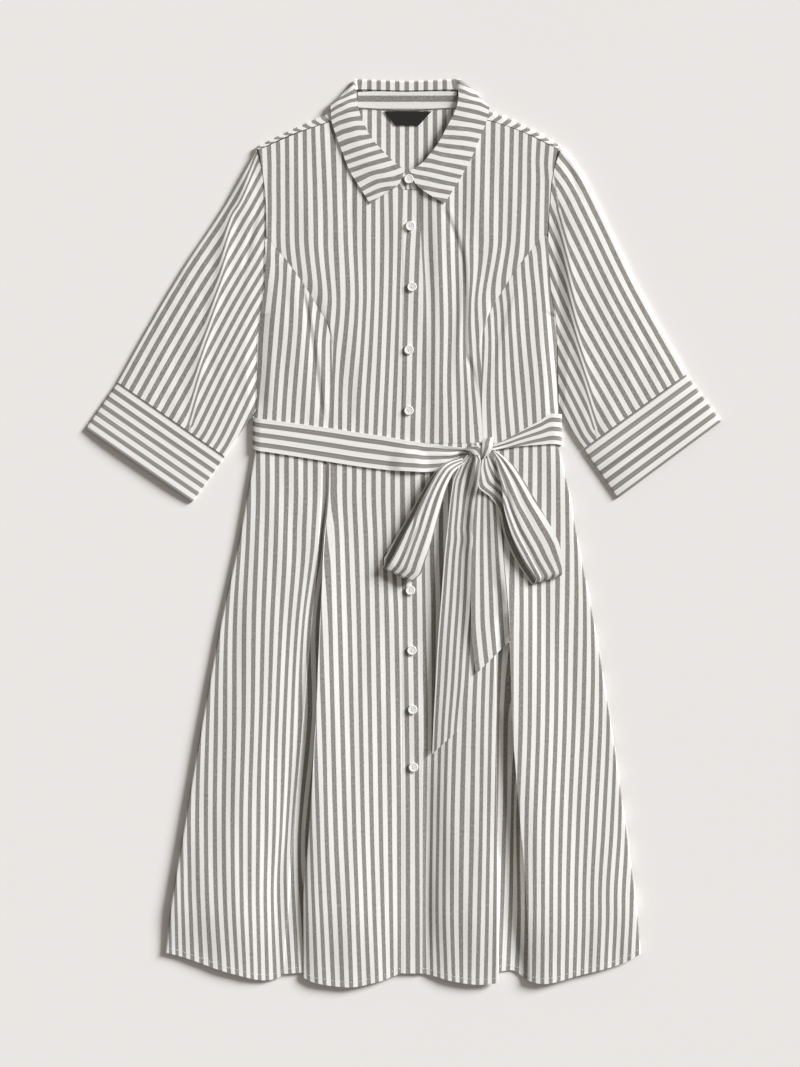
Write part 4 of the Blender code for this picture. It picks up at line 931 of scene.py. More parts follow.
def flat_tube(upper):
    """Rings round a tube that lies flat: the lower layer, a fold, the upper layer, a fold."""
    upper = upper.copy()
    first, last = upper[:, 0].copy(), upper[:, -1].copy()
    for end, inner, reach in ((0, 1, FOLD_IN_NEAR), (-1, -2, FOLD_IN)):
        inward = upper[:, inner, :2] - upper[:, end, :2]
        inward /= np.linalg.norm(inward, axis=1)[:, None]
        upper[:, end, :2] += inward * reach
    lower = upper.copy()
    lower[..., 2] = 0.0
    lower[..., 3] = 2 * last[:, None, 3] - upper[..., 3]

    def turn(outermost, layer, angle):
        """The line at one angle round a fold, from the lower layer to the upper."""
        share = 1 - math.cos(math.radians(angle))
        ring = outermost + (layer - outermost) * share
        ring[:, 2] = outermost[:, 2] / 2 * (1 + math.sin(math.radians(angle)))
        ring[:, 3] = outermost[:, 3]
        return ring

    far = [turn(last, upper[:, -1], angle) for angle in FOLD_TURN]
    near = [turn(first, upper[:, 0], angle) for angle in FOLD_TURN[::-1]]
    columns = ([lower[:, k] for k in range(lower.shape[1])] + far
               + [upper[:, k] for k in range(upper.shape[1] - 1, -1, -1)] + near)
    return np.stack(columns, axis=1)


def crowned(plan, edge, crown):
    """A grid over a plan, with a crown between its folds, and the shares down its length."""
    grid = np.zeros((*plan.shape[:2], 4))
    grid[..., :2] = plan
    across = np.linspace(-1, 1, plan.shape[1])[None, :]
    along = np.linspace(0, 1, plan.shape[0])[:, None]
    grid[..., 2] = edge + crown * (1.0 - abs(across) ** CROWN_POWER) + 0 * along
    return grid, along


def sleeve_grid(table, creases, seed):
    """A sleeve, from the armhole to the cuff's seam."""
    steps = steps_for(ARMHOLE_LENGTH)
    rows = steps_for(SLEEVE_LENGTH)
    body = run(raised(table["body"]), steps)
    body[:, 0] += table["out"] * ARMHOLE_CLEAR
    outer = run(table["outer"], rows)
    outer[0] = body[-1, :2]
    inner = run(table["inner"], rows)
    inner[0] = body[0, :2]
    seam = run((inner[-1], outer[-1]), steps)
    grid, along = crowned(patch(body[:, :2], seam, inner, outer), SLEEVE_EDGE, SLEEVE_CROWN)
    near_seam = np.maximum(0.0, 1.0 - along * SEAM_FADE)
    grid[..., 2] += (body[None, :, 2] - grid[..., 2]) * near_seam
    from_edge = beside(grid, table["outer"])[0]
    past, crease_side, _ = beside(grid, table["crease"])
    past = past * crease_side * -table["out"]
    grid[..., 3] = ((from_edge - SLEEVE_FIRST) / SLEEVE_STRIPE
                    + CREASE_STRIPES * ease(past / CREASE_WIDTH + 0.5)
                    + np.maximum(past, 0) * (1 / SLEEVE_STRIPE_PAST - 1 / SLEEVE_STRIPE))
    grid = ripple(press(grid, creases), seed, *SLEEVE_WAVES)
    grid[..., 2] = np.maximum(grid[..., 2], SLEEVE_LEAST)
    return flat_tube(draw_in(grid, ("last_row",), CUFF_SEAM_HALF))


def cuff_grid(table):
    """A straight band round the end of the sleeve."""
    steps = steps_for(CUFF_WIDTH)
    rows = steps_for(CUFF_DEPTH)
    seam = run((table["inner"][-1], table["outer"][-1]), steps)
    end = run(table["cuff_end"], steps)
    first = run((seam[0], end[0]), rows)
    last = run((seam[-1], end[-1]), rows)
    grid, along = crowned(patch(seam, end, first, last), CUFF_EDGE, CUFF_CROWN)
    tube = flat_tube(draw_in(grid, ("first_row",), CUFF_SEAM_HALF))
    tube[..., 3] = CUFF_STRIPES * along + CUFF_FIRST
    return tube


# ---------------------------------------------------------------- collar

# Sections of the collar fall, from the front edge of the right leaf round the back of the
# neck to the left leaf. Each goes from the roll at the stand to the free edge. The fourth
# number counts the stripes from the centre back.
COLLAR_FALL = (
    # roll                    quarter                  three quarters           free edge
    ((1.5, 478.5, 8.5, -16.6), (-6, 460.5, 8.5, -17.6), (-24, 448, 8, -18.5),
     (-44, 434.5, 7.4, -19.1)),
    ((-15, 492, 8.5, -15.2), (-27, 479, 8.7, -15.9), (-42, 466, 8.1, -16.6),
     (-57, 455, 7.4, -16.8)),
    ((-30, 507, 8.5, -13.7), (-43, 496, 8.7, -14.3), (-58, 486, 8.1, -14.7), (-71, 478, 7.4, -15)),
    ((-43, 522, 8.5, -12.1), (-56, 514, 8.7, -12.5), (-70, 507, 8.1, -12.7),
     (-81, 503, 7.4, -12.7)),
    ((-51, 538, 8.5, -10.7), (-65, 532, 8.7, -11.1), (-79, 528, 8.1, -11.1), (-89, 525, 7.4, -11)),
    ((-57, 552, 8.5, -9.6), (-70, 550, 8.7, -9.6), (-84, 547, 8.1, -9.5), (-95, 545, 7.4, -9.2)),
    ((-60, 565, 8.1, -8.6), (-72, 566, 8.3, -8.3), (-85, 566, 7.9, -7.7), (-96, 562, 7, -7.4)),
    ((-61.5, 576, 7.4, -7.6), (-71, 580, 7.4, -6.9), (-80, 579, 5.6, -6.5), (-86, 574, 3.6, -6.4)),
    ((-62.5, 584.5, 6.6, -6.8), (-66, 592.5, 6.4, -6), (-72, 589.5, 2.8, -5.9),
     (-71, 580, 0.4, -5.8)),
    ((-60, 585.2, 4.6, -5.2), (-61.5, 597, 4.6, -5.3), (-62.5, 599.5, 2.2, -5.4),
     (-58, 577, 0, -5)),
    ((-50, 585.5, 4.5, -4.4), (-51, 596.7, 4.5, -4.5), (-52, 598.8, 2.2, -4.6),
     (-48, 575, 0, -4.2)),
    ((-34, 585, 4.4, -3.1), (-34, 596, 4.4, -3.1), (-34, 598, 2.2, -3.1), (-34, 573, 0, -3.1)),
    ((3, 584, 4.4, -0.1), (3, 595, 4.4, -0.1), (3, 596.5, 2.2, -0.1), (3, 572, 0, -0.1)),
    ((42, 585, 4.4, 3), (42, 596, 4.4, 3), (42, 598, 2.2, 3), (42, 573, 0, 3)),
    ((57, 585.5, 4.5, 4.2), (58, 597, 4.5, 4.3), (59, 599, 2.2, 4.4), (55, 574, 0, 4.1)),
    ((68.5, 585.2, 4.6, 5.1), (70, 597.5, 4.6, 5.2), (72, 599.7, 2.3, 5.3), (67, 576, 0, 5)),
    ((71.5, 584.5, 6.6, 5.9), (77, 592.5, 6.4, 5.1), (86, 590, 2.8, 5), (84, 580, 0.4, 5)),
    ((72.5, 577, 7.4, 6.6), (82, 581, 7.4, 6), (94, 581, 5.6, 5.6), (101, 573, 3.6, 5.6)),
    ((71, 566, 8.1, 7.5), (84, 566, 8.3, 7.3), (99, 565, 7.9, 7.1), (113, 560, 7, 7)),
    ((65.5, 551, 8.5, 8.8), (79, 548, 8.7, 8.8), (95, 545, 8.1, 8.8), (109, 542, 7.4, 8.8)),
    ((58, 537, 8.5, 9.8), (71, 531, 8.7, 10.2), (87, 526, 8.1, 10.5), (101, 522, 7.4, 10.6)),
    ((48, 518, 8.5, 11.4), (61, 511, 8.7, 11.9), (77, 504, 8.1, 12.3), (91, 498, 7.4, 12.6)),
    ((36, 501, 8.5, 13.2), (49, 491, 8.7, 13.7), (64, 482, 8.1, 14.2), (79, 475, 7.4, 14.5)),
    ((22, 486, 8.5, 14.5), (35, 474, 8.7, 15.4), (50, 463, 8.1, 16), (67, 455, 7.4, 16.4)),
    ((8.8, 478.5, 8.5, 15.5), (15, 462, 8.5, 16.7), (34, 446.5, 8, 17.6), (54, 435, 7.4, 18.3)),
)
# The stand's roll, in the neck opening, from the centre front to the side of the neck. On
# the right it starts at the tab that takes the top button.
STAND_TAB = ((20, 453.3, 5.5, -2.0), (9, 453.3, 5.5, -1.0))
ROLL_RIGHT = ((17, 474, 6.0, -2.4), (8, 476, 6.4, -1.6), (1, 477, 6.8, -0.8), (-15, 491, 6.9, 1),
              (-30, 506, 6.9, 3), (-43.5, 522, 6.9, 4), (-56.5, 545, 6.7, 5.5), (-61, 561, 6.5, 7))
ROLL_LEFT = ((21, 474, 6.2, 0), (35, 500, 6.9, 2), (49, 521, 6.9, 3.5), (62, 547, 6.7, 5.5),
             (68, 562, 6.5, 7))
STAND_BACK = (
    ((-62, 562, 1.6), (-60, 582, 3.2)),
    ((-34, 560.6, 0.9), (-34, 583, 2.6)),
    ((3, 558, 0.8), (3, 582.4, 2.6)),
    ((40, 560.6, 0.9), (42, 583, 2.6)),
    ((70, 562, 1.6), (70, 582.6, 3.2)),
)
STAND_MIDDLE = 573.4    # y of the dark stripe round the inside of the stand
STAND_STRIPE = 17.0     # the stand's stripes look wider, because its slope faces the neck
LABEL_TOP = ((-26, 556.8), (37, 556.8))
LABEL_BOTTOM = ((-11, 538.5), (20, 538))
LABEL_HEIGHT = 1.9
NECK_REACH = -62.0, 74.0    # x of the neck's ends on the right and left fronts
SECTION_STEPS = 6           # steps between two sections
COLLAR_STEPS = SECTION_STEPS
LABEL_STEPS = 12            # steps along the label


def section_strip(sections, steps, spacing=FINE):
    """A strip through sections, with a number of steps between each two."""
    sections = np.array(sections, float)
    keys = fill([sections[:, k] for k in range(sections.shape[1])], spacing)
    index = np.arange(len(keys))
    where = np.linspace(0, len(keys) - 1, (len(keys) - 1) * steps + 1)
    return np.stack([smooth(where, index, keys[:, c]) for c in range(keys.shape[1])], axis=1)


def stand_back_grid():
    """The back of the stand, seen from inside the neck. Its stripes run round the neck."""
    return section_strip([[(*point, (STAND_MIDDLE - point[1]) / STAND_STRIPE)
                           for point in section] for section in STAND_BACK], SECTION_STEPS)


def front_stand_grid(neck, roll):
    """The stand between the neck edge of a front and the roll of the collar."""
    return draw_in(fill([neck, run(roll, len(neck) - 1)]), ("first_column",))


def label_grid():
    """The label tape, caught between the stand and the back."""
    edges = [run([(x, y, LABEL_HEIGHT, 0.0) for x, y in edge], LABEL_STEPS)
             for edge in (LABEL_BOTTOM, LABEL_TOP)]
    return fill(edges).transpose(1, 0, 2)


# ---------------------------------------------------------------- belt and bow

# Sections of the belt across the front: upper edge (x, y) and lower edge (x, y).
BELT_FRONT_RIGHT = (
    ((88, 109), (88, 99)), ((78, 113), (79, 95)), ((60, 115), (58, 86)), ((40, 118), (39, 82)),
    ((27, 119), (26, 81)), ((17, 121), (17, 81.5)), ((7, 122), (7, 82)), ((-3, 124), (-3, 82.5)),
    ((-14, 126), (-14, 83)), ((-28, 128.5), (-28, 84.5)), ((-60, 133), (-60, 88.5)),
    ((-95, 138.5), (-95, 94)), ((-145, 145.5), (-145, 102)), ((-180, 150), (-181, 107.5)),
    ((-188, 151), (-189, 108.5)),
)
BELT_FRONT_LEFT = (
    ((196, 158), (197, 118)), ((180, 149), (180, 117)), ((154, 134.5), (154, 115)),
    ((135, 124), (135, 112)), ((121, 118), (121, 110)), ((110, 114), (110, 108)),
)
BELT_SHOWING = (1.0, 0.97, 0.8, 0.6, 0.48, 0.45)    # share of the width not folded under
# Creases that run to the knot: path, half-width, depth, step, and the shares that fade.
BELT_CREASES = (
    (((30, 113), (48, 111), (87, 107)), 2.4, 1.3, 0.0, 0.5, 0.0),
    (((40, 101), (75, 97)), 2.2, 0.6, 0.0, 0.5, 0.0),
    (((145, 121), (128, 115), (112, 111)), 1.8, 1.0, 0.0, 0.5, 0.0),
)
BELT_BACK_XS = (-188, -120, -50, 20, 90, 150, 197)
# The belt's turn round a side of the body: x from its outermost line, and height.
BELT_TURN = ((4.5, 6.1), (1.3, 5.2), (0.0, 3.6), (0.6, 1.2), (2.4, 0.0))
BELT_SIDE_RIGHT = -198.0
BELT_SIDE_LEFT = 208.0
HIDDEN_BUTTON = 5       # the sixth button lies under the belt and lifts it
BUMP_TOP = 9.0          # radius of the lifted part of the belt
BUMP_REACH = 30.0       # radius at which the belt is down again
BUMP_CLEAR = 0.3        # gap over the button
OVER_FRONT_X = 150.0    # the belt lies over the front inside this x and above this height
OVER_FRONT_Z = 4.0
BUTTONS = ((7, 467), (9, 405), (11, 325), (7, 242), (7, 162), (7, 90), (9, 3), (9, -75),
           (11, -154), (12, -232), (13, -308))

WAD_CENTRE = (99.0, 109.0, 10.6)
WAD_HALF = (12.5, 10.5, 4.6)
WAD_RINGS = 20
WAD_SIDES = 40
WAD_LEAN = 0.5          # how far the wad's stripes lean
WAD_STRIPE = 9          # width of its stripes, pulled together in the knot
WAD_SQUARE = 0.7        # 1 is an ellipsoid, less is squarer
WRAP_STEPS = 6          # steps between two sections of a turn
WRAP_SPACING = 1.0      # spacing of the points across a turn
WRAP_ROWS = 12          # rows of a turn to the length of a stripe
# Turns of the belt over the knot: sections of x, y, z and stripes, from edge to edge.
TURN_MAIN = (
    ((106, 123.8, 8.2, 0.4), (111, 125.6, 9, 0.9), (116, 126, 9, 1.4), (119.2, 124.6, 8, 1.85)),
    ((106, 124.2, 15.4, 0.4), (111, 126, 16.2, 0.9), (116, 126.4, 16.1, 1.4),
     (119.4, 125, 15.6, 1.85)),
    ((103.6, 118.5, 17.2, 0.4), (109, 120.5, 18, 0.9), (114.6, 120.8, 17.9, 1.4),
     (118.6, 119, 17.4, 1.85)),
    ((103.2, 111.8, 18.4, 0.4), (108, 112.2, 19.2, 0.95), (113, 112.4, 19.1, 1.4),
     (117.4, 112, 18.6, 1.85)),
    ((102.6, 105.3, 17.8, 0.45), (106, 105, 18.5, 1), (110, 105.2, 18.4, 1.4),
     (114, 106, 17.8, 1.8)),
    ((101.6, 100.3, 15.6, 0.45), (103.8, 99.8, 16.2, 1), (106.2, 100, 16.1, 1.4),
     (108.6, 101, 15.6, 1.75)),
    ((100.8, 96.4, 10.5, 0.45), (102, 95.6, 11, 1), (103.4, 95.8, 11, 1.4),
     (104.8, 96.6, 10.6, 1.75)),
)
TURN_LEFT = (
    ((78.2, 110, 10, 0.1), (79, 110.8, 10.6, 0.5), (80.2, 111.6, 10.5, 0.95),
     (81.6, 112.2, 9.8, 1.4)),
    ((84.6, 107.8, 13.8, 0.1), (85.6, 110.4, 14.2, 0.5), (87, 112.6, 14, 0.95),
     (88.8, 114.4, 13.2, 1.4)),
    ((91.4, 103.8, 16.6, 0.1), (93.2, 107.6, 17, 0.5), (95.6, 111.6, 17, 0.95),
     (98.6, 116, 16.2, 1.4)),
    ((96.6, 99.2, 16.8, 0.1), (98.4, 102, 17.3, 0.5), (100.6, 105.4, 17.4, 1),
     (103.4, 109.6, 16.6, 1.45)),
    ((99.6, 96, 14.4, 0.1), (100.6, 97.6, 15, 0.5), (101.8, 99.8, 15.4, 1),
     (103.4, 102.4, 14.8, 1.4)),
    ((100.6, 93.8, 10.4, 0.1), (101.2, 94.6, 11, 0.5), (101.8, 95.6, 11.2, 1),
     (102.6, 96.8, 10.6, 1.3)),
)

# Bow: sections from the knot outwards, with the left and right edges of the upper layer and
# of the lower layer, the heights of both above the front's usual height, and the stripes at
# four even steps across the upper layer.
EVEN = 0.8, 1.7, 2.4, 3.1, 3.9          # stripes where a loop runs straight
EVEN_KNOT = 0.9, 1.7, 2.4, 3.1, 3.9     # the same near the knot of the left loop
LOOP_RIGHT = (
    # upper layer                  lower layer            lower, upper  stripes
    ((78, 100), (80, 92), (77, 99), (79, 91), 2.0, 8.0, EVEN),
    ((62, 96), (70, 84), (60, 95), (69, 83), 1.8, 9.5, EVEN),
    ((50, 88.5), (66, 79.5), (45, 85), (64, 78), 1.6, 11, EVEN),
    ((35, 65), (57.6, 63), (30.5, 65), (56, 62), 1.6, 12, (0.75, 1.75, 2.5, 3.15, 3.85)),
    ((25.6, 45.2), (51.5, 44), (19, 46), (50, 43), 1.6, 12.4, (0.75, 1.8, 2.6, 3.2, 3.85)),
    ((16.1, 25.4), (46.5, 24), (8.5, 27), (45, 23), 1.8, 12.6, (0.8, 1.7, 2.5, 3.2, 3.9)),
    ((6.7, 7.4), (40.5, 3), (-2, 9), (39, 2), 2.0, 12.8, (0.3, 1.3, 2.3, 3.15, 3.85)),
    ((-4.6, -14.2), (34.5, -17), (-13.5, -11), (33, -18), 2.4, 12.6, (0.1, 1.05, 2.2, 3.1, 3.8)),
    ((-13, -30), (28, -38), (-21.5, -26), (27, -39), 2.8, 12, (0.1, 0.95, 2.1, 3.1, 3.9)),
    ((-19.5, -39.5), (22.5, -53), (-25.5, -34), (21.5, -53), 3.2, 11, (0.05, 0.9, 2, 3, 3.9)),
    ((-23, -44), (14, -61), (-25.5, -41), (13, -61), 3.8, 9.6, (0, 0.9, 1.95, 2.95, 3.9)),
)
LOOP_LEFT = (
    ((117, 107), (120, 109.5), (101.5, 97), (116, 101), 6.4, 8.6, EVEN_KNOT),
    ((121.5, 92), (132, 101.5), (97.5, 80), (124, 92), 7.2, 9.6, EVEN_KNOT),
    ((125, 76), (144, 90), (98.5, 62), (134, 82), 7.6, 11, (0.9, 1.7, 2.45, 3.15, 3.98)),
    ((129.5, 58), (156, 73), (114, 48), (150, 64), 5.6, 12, (0.8, 1.7, 2.4, 3.1, 4.0)),
    ((131.5, 37), (171.5, 47.5), (125.7, 29.7), (165, 40), 2.4, 12.4,
     (-0.35, 1.3, 2.3, 3.05, 4.0)),
    ((139.5, 6), (189, 17), (131.5, 1), (183, 8), 1.0, 12.8, (-0.6, 1.0, 2.03, 2.9, 3.75)),
    ((155.5, -28.5), (206, -20), (146, -33), (199, -25), 1.2, 12, (-0.6, 0.7, 1.85, 2.75, 3.6)),
    ((173.5, -57), (208.5, -50), (167.5, -65.5), (206, -53), 1.6, 9.6,
     (-0.3, 0.55, 1.4, 2.25, 3.2)),
)
LOOP_END_REACH = 4.2    # how far the fold at the end of a loop stands past its layers
LOOP_END_TURN = (-60, -40, -20, 0, 20, 40, 60)      # places round that fold, in degrees
LOOP_WIDTH = 46.0
LOOP_STEPS = 8          # steps between two sections
LOOP_PUFF = 0.9         # how much the upper layer rises between its edges
PUFF_ALONG = 0.9, 0.15, 0.85    # its growth along the loop, its start and its end
LOOP_PLEATS = 0.022     # height of the pleats at the knot, in widths of the loop
PLEATS_ACROSS = 2.4
PLEATS_START = 0.8
GATHER_POWER = 1.6      # how soon the pleats die away from the knot
LOOP_REACH = 2.0        # how far round a point the lower layer feels what it lies on
LOOP_LIFT = 1.1         # how far it stays above that
LOWER_STRIPES = (-0.42, 0.55, 1.6, 2.7, 3.7)
# Creases along the loops: where they lie across the loop near the knot and at its end.
CREASE_RIGHT = 0.42, 0.2
CREASE_LEFT = 0.14, 0.22
LOOP_CREASE_DEPTH = 0.9
LOOP_CREASE_HALF = 0.05     # in widths of the loop

# Stripes at four even steps across a tail, halfway down it and towards its tip.
LONG_MIDDLE = -0.43, 0.64, 1.7, 2.77, 3.84
LONG_END = -0.43, 0.6, 1.65, 2.7, 3.8
SHORT_MIDDLE = -0.25, 0.78, 1.8, 2.83, 3.86
SHORT_END = -0.25, 0.75, 1.75, 2.8, 3.86
TAIL_LONG = (
    # left edge, right edge, stripes at four even steps across
    ((84, 103), (97, 103), (-0.4, 0.6, 1.6, 2.4, 3.2)),
    ((77.5, 95), (100.8, 95), (-0.4, 0.7, 1.7, 2.5, 3.4)),
    ((71, 82), (100.3, 82), (-0.4, 0.9, 1.8, 2.6, 3.5)),
    ((65.5, 68), (98.6, 68), (-0.4, 0.9, 1.8, 2.6, 3.5)),
    ((62.5, 50), (95, 50), (-0.4, 0.8, 1.8, 2.7, 3.6)),
    ((60, 30), (92.6, 30), (-0.42, 0.7, 1.75, 2.75, 3.7)),
    ((58, 8), (90.6, 8), (-0.4, 0.7, 1.75, 2.75, 3.75)),
    ((56.2, -8), (91.6, -8), (-0.45, 0.6, 1.65, 2.7, 3.8)),
    ((54, -30), (90, -31), LONG_MIDDLE),
    ((49.5, -88), (88, -88), LONG_MIDDLE),
    ((45.5, -139), (84, -139), LONG_END),
    ((42, -202), (80, -202), LONG_END),
    ((39.5, -250), (76.5, -236), LONG_END),
    ((38, -290), (74.5, -257), LONG_END),
)
TAIL_SHORT = (
    ((103, 93.5), (114, 93.5), SHORT_MIDDLE),
    ((99, 80), (120, 80), SHORT_MIDDLE),
    ((93, 30), (127, 30), SHORT_MIDDLE),
    ((90, -35), (132.5, -35), SHORT_MIDDLE),
    ((89, -109), (138, -100), SHORT_MIDDLE),
    ((92.5, -160), (139.5, -130), SHORT_END),
    ((95.5, -185), (140, -141), SHORT_END),
)
TAIL_LIFT = 2.3         # outside face above what the tail lies on
TAIL_REACH = 7.0        # how far round a point the tail feels what it lies on
TAIL_NEAR = 1.5         # the same for the height that easing leaves at least
TAIL_EASING = 8         # passes of easing
TAIL_LENGTH = 390.0
TAIL_WIDTH = 48.0
TAIL_PLEATS = 0.6       # height of the pleats at the knot
TAIL_PLEATS_ACROSS = 2.6
TAIL_PLEATS_START = 0.6
KNOT_FOOT = 95.0        # y where the pleats are full
QUARTERS = (0.0, 0.25, 0.5, 0.75, 1.0)


def belt_count(share):
    """Stripes across the belt, from one edge to the other."""
    return BELT_STRIPES * (share - 0.5)


def belt_grid():
    """The belt from the knot round the body and back to the knot."""
    hidden = BUTTONS[HIDDEN_BUTTON]

    def over_front(x, y):
        """Height of the belt over the front, with the button under it."""
        from_button = math.hypot(x - hidden[0], y - hidden[1])
        near = float(ease((BUMP_REACH - from_button) / (BUMP_REACH - BUMP_TOP)))
        return BELT_TOP + (BUTTON_THICK + BUMP_CLEAR) * near

    shares = np.linspace(0, 1, steps_for(BELT_WIDTH) + 1)

    def across(upper, lower, height=None, showing=1.0):
        """A section from the upper edge to the lower. Without a height it lies on the front."""
        made = []
        for share in shares:
            x = upper[0] + (lower[0] - upper[0]) * share
            y = upper[1] + (lower[1] - upper[1]) * share
            made.append((x, y, over_front(x, y) if height is None else height,
                         belt_count(share) * showing))
        return made

    def turn(side, inward, start, end):
        """Sections round a side, from the edges at start to those at end."""
        made = []
        for i, (dx, z) in enumerate(BELT_TURN):
            share = (i + 1) / len(BELT_TURN)
            upper = (side + inward * dx, start[0] + (end[0] - start[0]) * share)
            lower = (side + inward * dx, start[1] + (end[1] - start[1]) * share)
            made.append(across(upper, lower, z))
        return made

    back_edges = (BELT_BACK_Y + BELT_HALF, BELT_BACK_Y - BELT_HALF)
    right_edges = (BELT_FRONT_RIGHT[-1][0][1], BELT_FRONT_RIGHT[-1][1][1])
    left_edges = (BELT_FRONT_LEFT[0][0][1], BELT_FRONT_LEFT[0][1][1])
    rows = [across(*edges) for edges in BELT_FRONT_RIGHT]
    rows += turn(BELT_SIDE_RIGHT, 1, right_edges, back_edges)
    rows += [across((x, back_edges[0]), (x, back_edges[1]), 0.0) for x in BELT_BACK_XS]
    rows += turn(BELT_SIDE_LEFT, -1, left_edges, back_edges)[::-1]
    rows += [across(*edges, showing=showing)
             for edges, showing in zip(BELT_FRONT_LEFT, BELT_SHOWING)]
    grid = fill(rows)
    heights = np.array([[over_front(x, y) for x, y in row] for row in grid[..., :2]])
    inside = (grid[..., 2] > OVER_FRONT_Z) & (abs(grid[..., 0]) < OVER_FRONT_X)
    grid[..., 2] = np.where(inside, heights, grid[..., 2])
    pressed = press(grid.copy(), BELT_CREASES)[..., 2]
    grid[..., 2] = np.where(inside, pressed, grid[..., 2])
    return grid


def across_strip(left, right, shares, stripes):
    """Points from one edge of a strip to the other, with their stripes."""
    strip = np.zeros((len(shares), 4))
    for axis in (0, 1):
        strip[:, axis] = left[axis] + (right[axis] - left[axis]) * shares
    strip[:, 3] = smooth(shares, QUARTERS, stripes)
    return strip


def loop_grid(table, tree, crease):
    """A loop of the bow: out along the lower layer, round the end, back along the upper."""
    keys = np.array([(*ul, *ur, *ll, *lr, low, high, *stripes)
                     for ul, ur, ll, lr, low, high, stripes in table], float)
    index = np.arange(len(keys))
    rows = smooth(np.linspace(0, index[-1], LOOP_STEPS * index[-1] + 1), index, keys)
    shares = np.linspace(0.0, 1.0, steps_for(LOOP_WIDTH, 0.8 * FINE) + 1)
    puff = LOOP_PUFF * (1 - (2 * shares - 1) ** CROWN_POWER)
    pleats = LOOP_PLEATS * np.cos(2 * math.pi * PLEATS_ACROSS * shares + PLEATS_START)
    upper, lower = [], []
    for k, row in enumerate(rows):
        along = k / (len(rows) - 1)
        gathered = (1 - along) ** GATHER_POWER
        top = across_strip(row[0:2], row[2:4], shares, row[10:])
        under = across_strip(row[4:6], row[6:8], shares, LOWER_STRIPES)
        at = crease[0] + (crease[1] - crease[0]) * along
        pressed = LOOP_CREASE_DEPTH * np.exp(-((shares - at) / LOOP_CREASE_HALF) ** 2)
        grown = math.sin(math.pi * min(along * PUFF_ALONG[0] + PUFF_ALONG[1], PUFF_ALONG[2]))
        top[:, 2] = (FRONT_TOP + row[9] + puff * grown
                     + pleats * gathered * math.dist(row[0:2], row[2:4])
                     - pressed * (1 - gathered))
        rest = np.array([highest(tree, x, y, LOOP_REACH) for x, y in under[:, :2]]) + LOOP_LIFT
        under[:, 2] = np.maximum(FRONT_TOP + row[8], rest)
        upper.append(top)
        lower.append(under)
    end = []
    ahead = (upper[-1] - upper[-3])[:, :2]
    ahead = ahead / np.linalg.norm(ahead, axis=1)[:, None] * LOOP_END_REACH
    for angle in LOOP_END_TURN:
        share = (1 + math.sin(math.radians(angle))) / 2
        ring = lower[-1] + (upper[-1] - lower[-1]) * share
        ring[:, :2] += ahead * math.cos(math.radians(angle))
        end.append(ring)
    return np.array(lower + end + upper[::-1]), np.array(lower)


def settle(grid, tree):
    """Let a tail down on what lies under it, then ease it so that it spans small hollows."""
    least, z = (np.array([[highest(tree, x, y, reach) for x, y in row] for row in grid[..., :2]])
                for reach in (TAIL_NEAR, TAIL_REACH))
    for _ in range(TAIL_EASING):
        padded = np.pad(z, 1, mode="edge")
        eased = (padded[:-2, 1:-1] + padded[2:, 1:-1] + padded[1:-1, :-2]
                 + padded[1:-1, 2:]) / 4
        z = np.maximum(eased, least)
    grid[..., 2] = z + TAIL_LIFT
    return grid


def tail_grid(table, tree, stand_off, pleats_end):
    """A loose end of the belt, draped on what lies under it.

    Its tip lies down, and it stands off more and more up to the place where its pleats
    end. From there up to the knot the pleats grow.
    """
    keys = np.array([(*left, *right, *stripes) for left, right, stripes in table], float)
    index = np.arange(len(keys))
    rows = smooth(np.linspace(0, index[-1], steps_for(TAIL_LENGTH) + 1), index, keys)
    shares = np.linspace(0.0, 1.0, steps_for(TAIL_WIDTH) + 1)
    grid = np.array([across_strip(row[0:2], row[2:4], shares, row[4:]) for row in rows])
    grid = settle(grid.transpose(1, 0, 2).copy(), tree)
    tip = keys[-1, 1]
    grid[..., 2] += stand_off * np.clip((grid[..., 1] - tip) / (pleats_end - tip), 0.0, 1.0)
    near_knot = ease((grid[..., 1] - pleats_end) / (KNOT_FOOT - pleats_end))
    pleats = TAIL_PLEATS * np.cos(2 * math.pi * TAIL_PLEATS_ACROSS * shares + TAIL_PLEATS_START)
    grid[..., 2] += near_knot * pleats[:, None]
    return grid.transpose(1, 0, 2)


def wrap(name, sections, material):
    """A turn of the belt round the knot, through sections from its first to its last."""
    grid = section_strip(sections, WRAP_STEPS, WRAP_SPACING)
    rows, columns = grid.shape[:2]
    along = np.repeat(np.arange(rows)[:, None] / WRAP_ROWS, columns, axis=1)
    item = add_shell(name, grid, along, material, WALL, turned=True)
    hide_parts("bow_knot")


